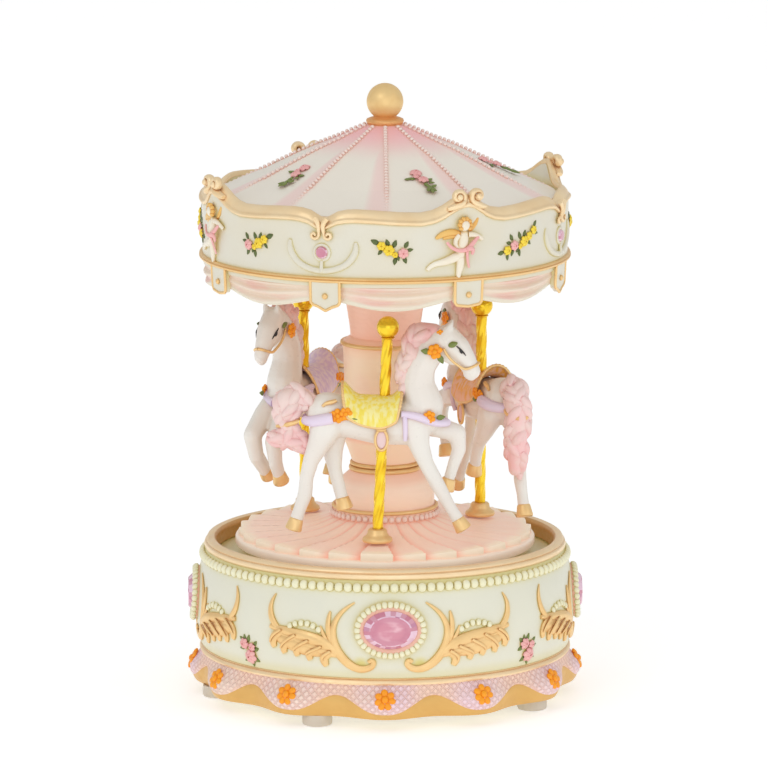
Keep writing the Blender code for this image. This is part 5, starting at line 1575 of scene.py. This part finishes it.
# %% Placing and painting the horses
eye_black = painted("eye_black", tint(40, 38, 38), tint(54, 48, 46), tint(24, 22, 22))
lilac_paint = painted("lilac_paint", tint(236, 222, 240), tint(222, 200, 234), tint(204, 176, 218), 0.8 * MM)
stirrup_paint = painted("stirrup_paint", tint(238, 208, 206), tint(230, 192, 194), tint(214, 168, 164),
                        0.8 * MM)
saddle_tints = [("yellow", tint(250, 240, 160), tint(247, 226, 84), tint(232, 200, 80)),
                ("orange", tint(250, 204, 178), tint(248, 184, 84), tint(228, 150, 70)),
                ("lilac", tint(240, 222, 236), tint(224, 200, 234), tint(206, 172, 200))]
places = [around(bearing, POLE_REACH) @ Matrix.Rotation(math.radians(turn), 4,
                                                        "Z") for (bearing, foot, top),
                                                        turn in zip(RIDERS, HORSE_TURNS)]
for rider, place in enumerate(places):
    body = twin_of(horse_models[rider], place)
    body.name = f"horse_body_{rider + 1}"
    done(body, horse_paint, "carousel", "white_resin", f"horse_{rider + 1}", angle=80)
    name, light, deep, dark = saddle_tints[rider]
    saddle_paint = Finish(f"{name}_saddle_paint", 0.4, coat=0.15)
    brushed = saddle_paint.span(saddle_paint.noise(330, 3, (3, 3, 0.6)), 0.4, 0.62)
    coat = saddle_paint.mix(brushed, light, deep)
    # Painted shade darkens the creases.
    saddle_paint.colour(saddle_paint.crease_shaded(coat, dark, MM, 0.6))
    saddle_paint.bump(saddle_paint.noise(700, 3, (3, 3, 0.6)), 0.08 * MM, 0.6).rough(0.34, 0.5)
    cloth = twin_of(cloth_model, place)
    cloth.name = f"saddle_{rider + 1}"
    done(cloth, saddle_paint, "carousel", "cream_resin", angle=60)
manes = [twin_of(model, place) for model, place in zip(hair_models, places)]
done(merged(manes, "manes_and_tails"), hair_paint, "carousel", "blush_resin", angle=80)
shoes = [twin_of(model, place) for model, place in zip(hoof_models, places)]
done(merged(shoes, "hooves"), gold, "carousel", "gilt", angle=60)
for model, name, paint, slot in ((trim_model, "saddle_trims", gold, "gilt"),
                                 (strap_model, "straps", lilac_paint, "blush_resin"),
                                 (merged(stirrups, "stirrup_model"), "stirrups", stirrup_paint,
                                  "blush_resin"),
                                 (eye_model, "horse_eyes", eye_black, "cream_resin"),
                                 (bloom_model, "tack_flowers", orange, "cream_resin"),
                                 (sprig_model, "tack_leaves", leaf_green, "cream_resin")):
    done(repeated(model, places, name), paint, "carousel", slot, angle=70)
for model in horse_models + hair_models + hoof_models + [cloth_model]:
    bpy.data.objects.remove(model)

# %% [markdown]
# ## Clockwork and underside
# The pieces below stay as the frame made them, and only get finishes: a printed board, cast zinc, spring
# steel, and brass. Metal here is never quite clean. Fine turning lines and a slight bloom of
# age keep it from looking new, and painted shade darkens its creases.

# %% Finishes for the pieces that stay
def metal(name, light, deep, roughness, grain):
    finish = Finish(name, roughness, 0.95)
    coat = finish.mix(finish.span(finish.noise(140, 4), 0.35, 0.7), light, deep)
    # Painted shade darkens the creases.
    finish.colour(finish.crease_shaded(coat, deep, 1.2 * MM, 0.6))
    out = finish.polar()[0]
    lines = finish.sums("SINE", finish.sums("MULTIPLY", out, grain))
    return finish.bump(finish.sums("ADD", lines, finish.noise(900)), 0.02 * MM,
                       0.4).rough(roughness - 0.06, roughness + 0.12)


board = Finish("plate_board", 0.75)
fibre = board.span(board.noise(500, 5, (1, 1, 3)), 0.35, 0.7)
board.colour(board.mix(fibre, tint(238, 228, 208),
                       tint(222, 208, 184))).bump(board.noise(1500, 4), 0.04 * MM, 0.5).rough(0.68, 0.85)
zinc = metal("cast_zinc", tint(176, 178, 180), tint(132, 134, 138), 0.5, 2500)
steel = metal("spring_steel", tint(200, 202, 206), tint(150, 154, 160), 0.3, 6000)
wheel_brass = metal("movement_brass", tint(232, 202, 128), tint(198, 160, 84), 0.32, 7000)
kept = ((board, ("base_plate",)),
        (zinc, ("bedplate", "governor_frame")),
        (steel, ("comb", "clutch_spring", "mainspring", "spindle", "winding_arbor", "cylinder_shaft",
                 "governor_worm",
                 "plate_screw_1", "plate_screw_2", "plate_screw_3", "bedplate_screw_1", "bedplate_screw_2",
                 "bedplate_screw_3",
                 "comb_screw_1", "comb_screw_2")),
        (wheel_brass,
         ("spindle_bush", "spindle_nut", "spring_barrel", "barrel_wheel", "winding_key", "cylinder",
          "cylinder_pinion",
                       "train_wheel", "governor_fan")))
for finish, nodes in kept:
    for node in nodes:
        slots = bpy.data.objects[node].material_slots
        for holder in slots:
            holder.material = finish.material
print("nodes kept with new finishes:", sum(len(nodes) for finish, nodes in kept))

# %% [markdown]
# ## Studio
# A plain set: a pale floor, a white room, and three large soft lights. The room lights the model with less
# than it shows, so the background stays white while the pale paint keeps its shading. A Light Path
# node tells the two apart.

# %% Camera, light and floor
bpy.ops.object.camera_add(location=(-0.00027, -1.7727, 0.3985), rotation=(math.radians(80), 0, 0))
camera = bpy.context.object
camera.name = "camera"
camera.data.lens = 306.8
camera.data.sensor_width = 36
camera.data.clip_end = 20
bpy.context.scene.camera = camera

bpy.ops.mesh.primitive_plane_add(size=6, location=(0, 0, -0.0002))
floor = named("floor")
floor_paint = Finish("floor_paint", 0.9)
floor_paint.colour(floor_paint.mix(floor_paint.noise(3), (0.90, 0.90, 0.90, 1), (0.92, 0.92, 0.92, 1)))
floor_paint.shader.inputs["Emission Color"].default_value = (1, 1, 1, 1)
floor_paint.shader.inputs["Emission Strength"].default_value = 0.4
floor.data.materials.append(floor_paint.material)


def soft_light(name, place, size, power, aim=(0, 0, 0.08)):
    bpy.ops.object.light_add(type="AREA", location=place)
    light = bpy.context.object
    light.name = name
    light.data.size = size
    light.data.energy = power
    light.rotation_euler = (Vector(aim) - Vector(place)).to_track_quat("-Z", "Y").to_euler()


soft_light("key_light", (-0.8, -1.1, 1.2), 0.9, 3.0)
soft_light("fill_light", (1.2, -0.8, 0.7), 1.0, 1.6)
soft_light("front_light", (0.1, -1.9, 0.42), 1.4, 4.3)
world = bpy.context.scene.world or bpy.data.worlds.new("room")
bpy.context.scene.world = world
world.use_nodes = True
room = world.node_tree
background = room.nodes["Background"]
background.inputs["Color"].default_value = (1, 1, 1, 1)
seen = room.nodes.new("ShaderNodeLightPath").outputs["Is Camera Ray"]
strength = room.nodes.new("ShaderNodeMapRange")
strength.inputs["To Min"].default_value = 0.64
strength.inputs["To Max"].default_value = 1.15
room.links.new(seen, strength.inputs["Value"])
room.links.new(strength.outputs[0], background.inputs["Strength"])
bpy.context.scene.view_settings.view_transform = "Standard"

for spare in (rose_model, leaf_model, flower_model):
    bpy.data.objects.remove(spare)
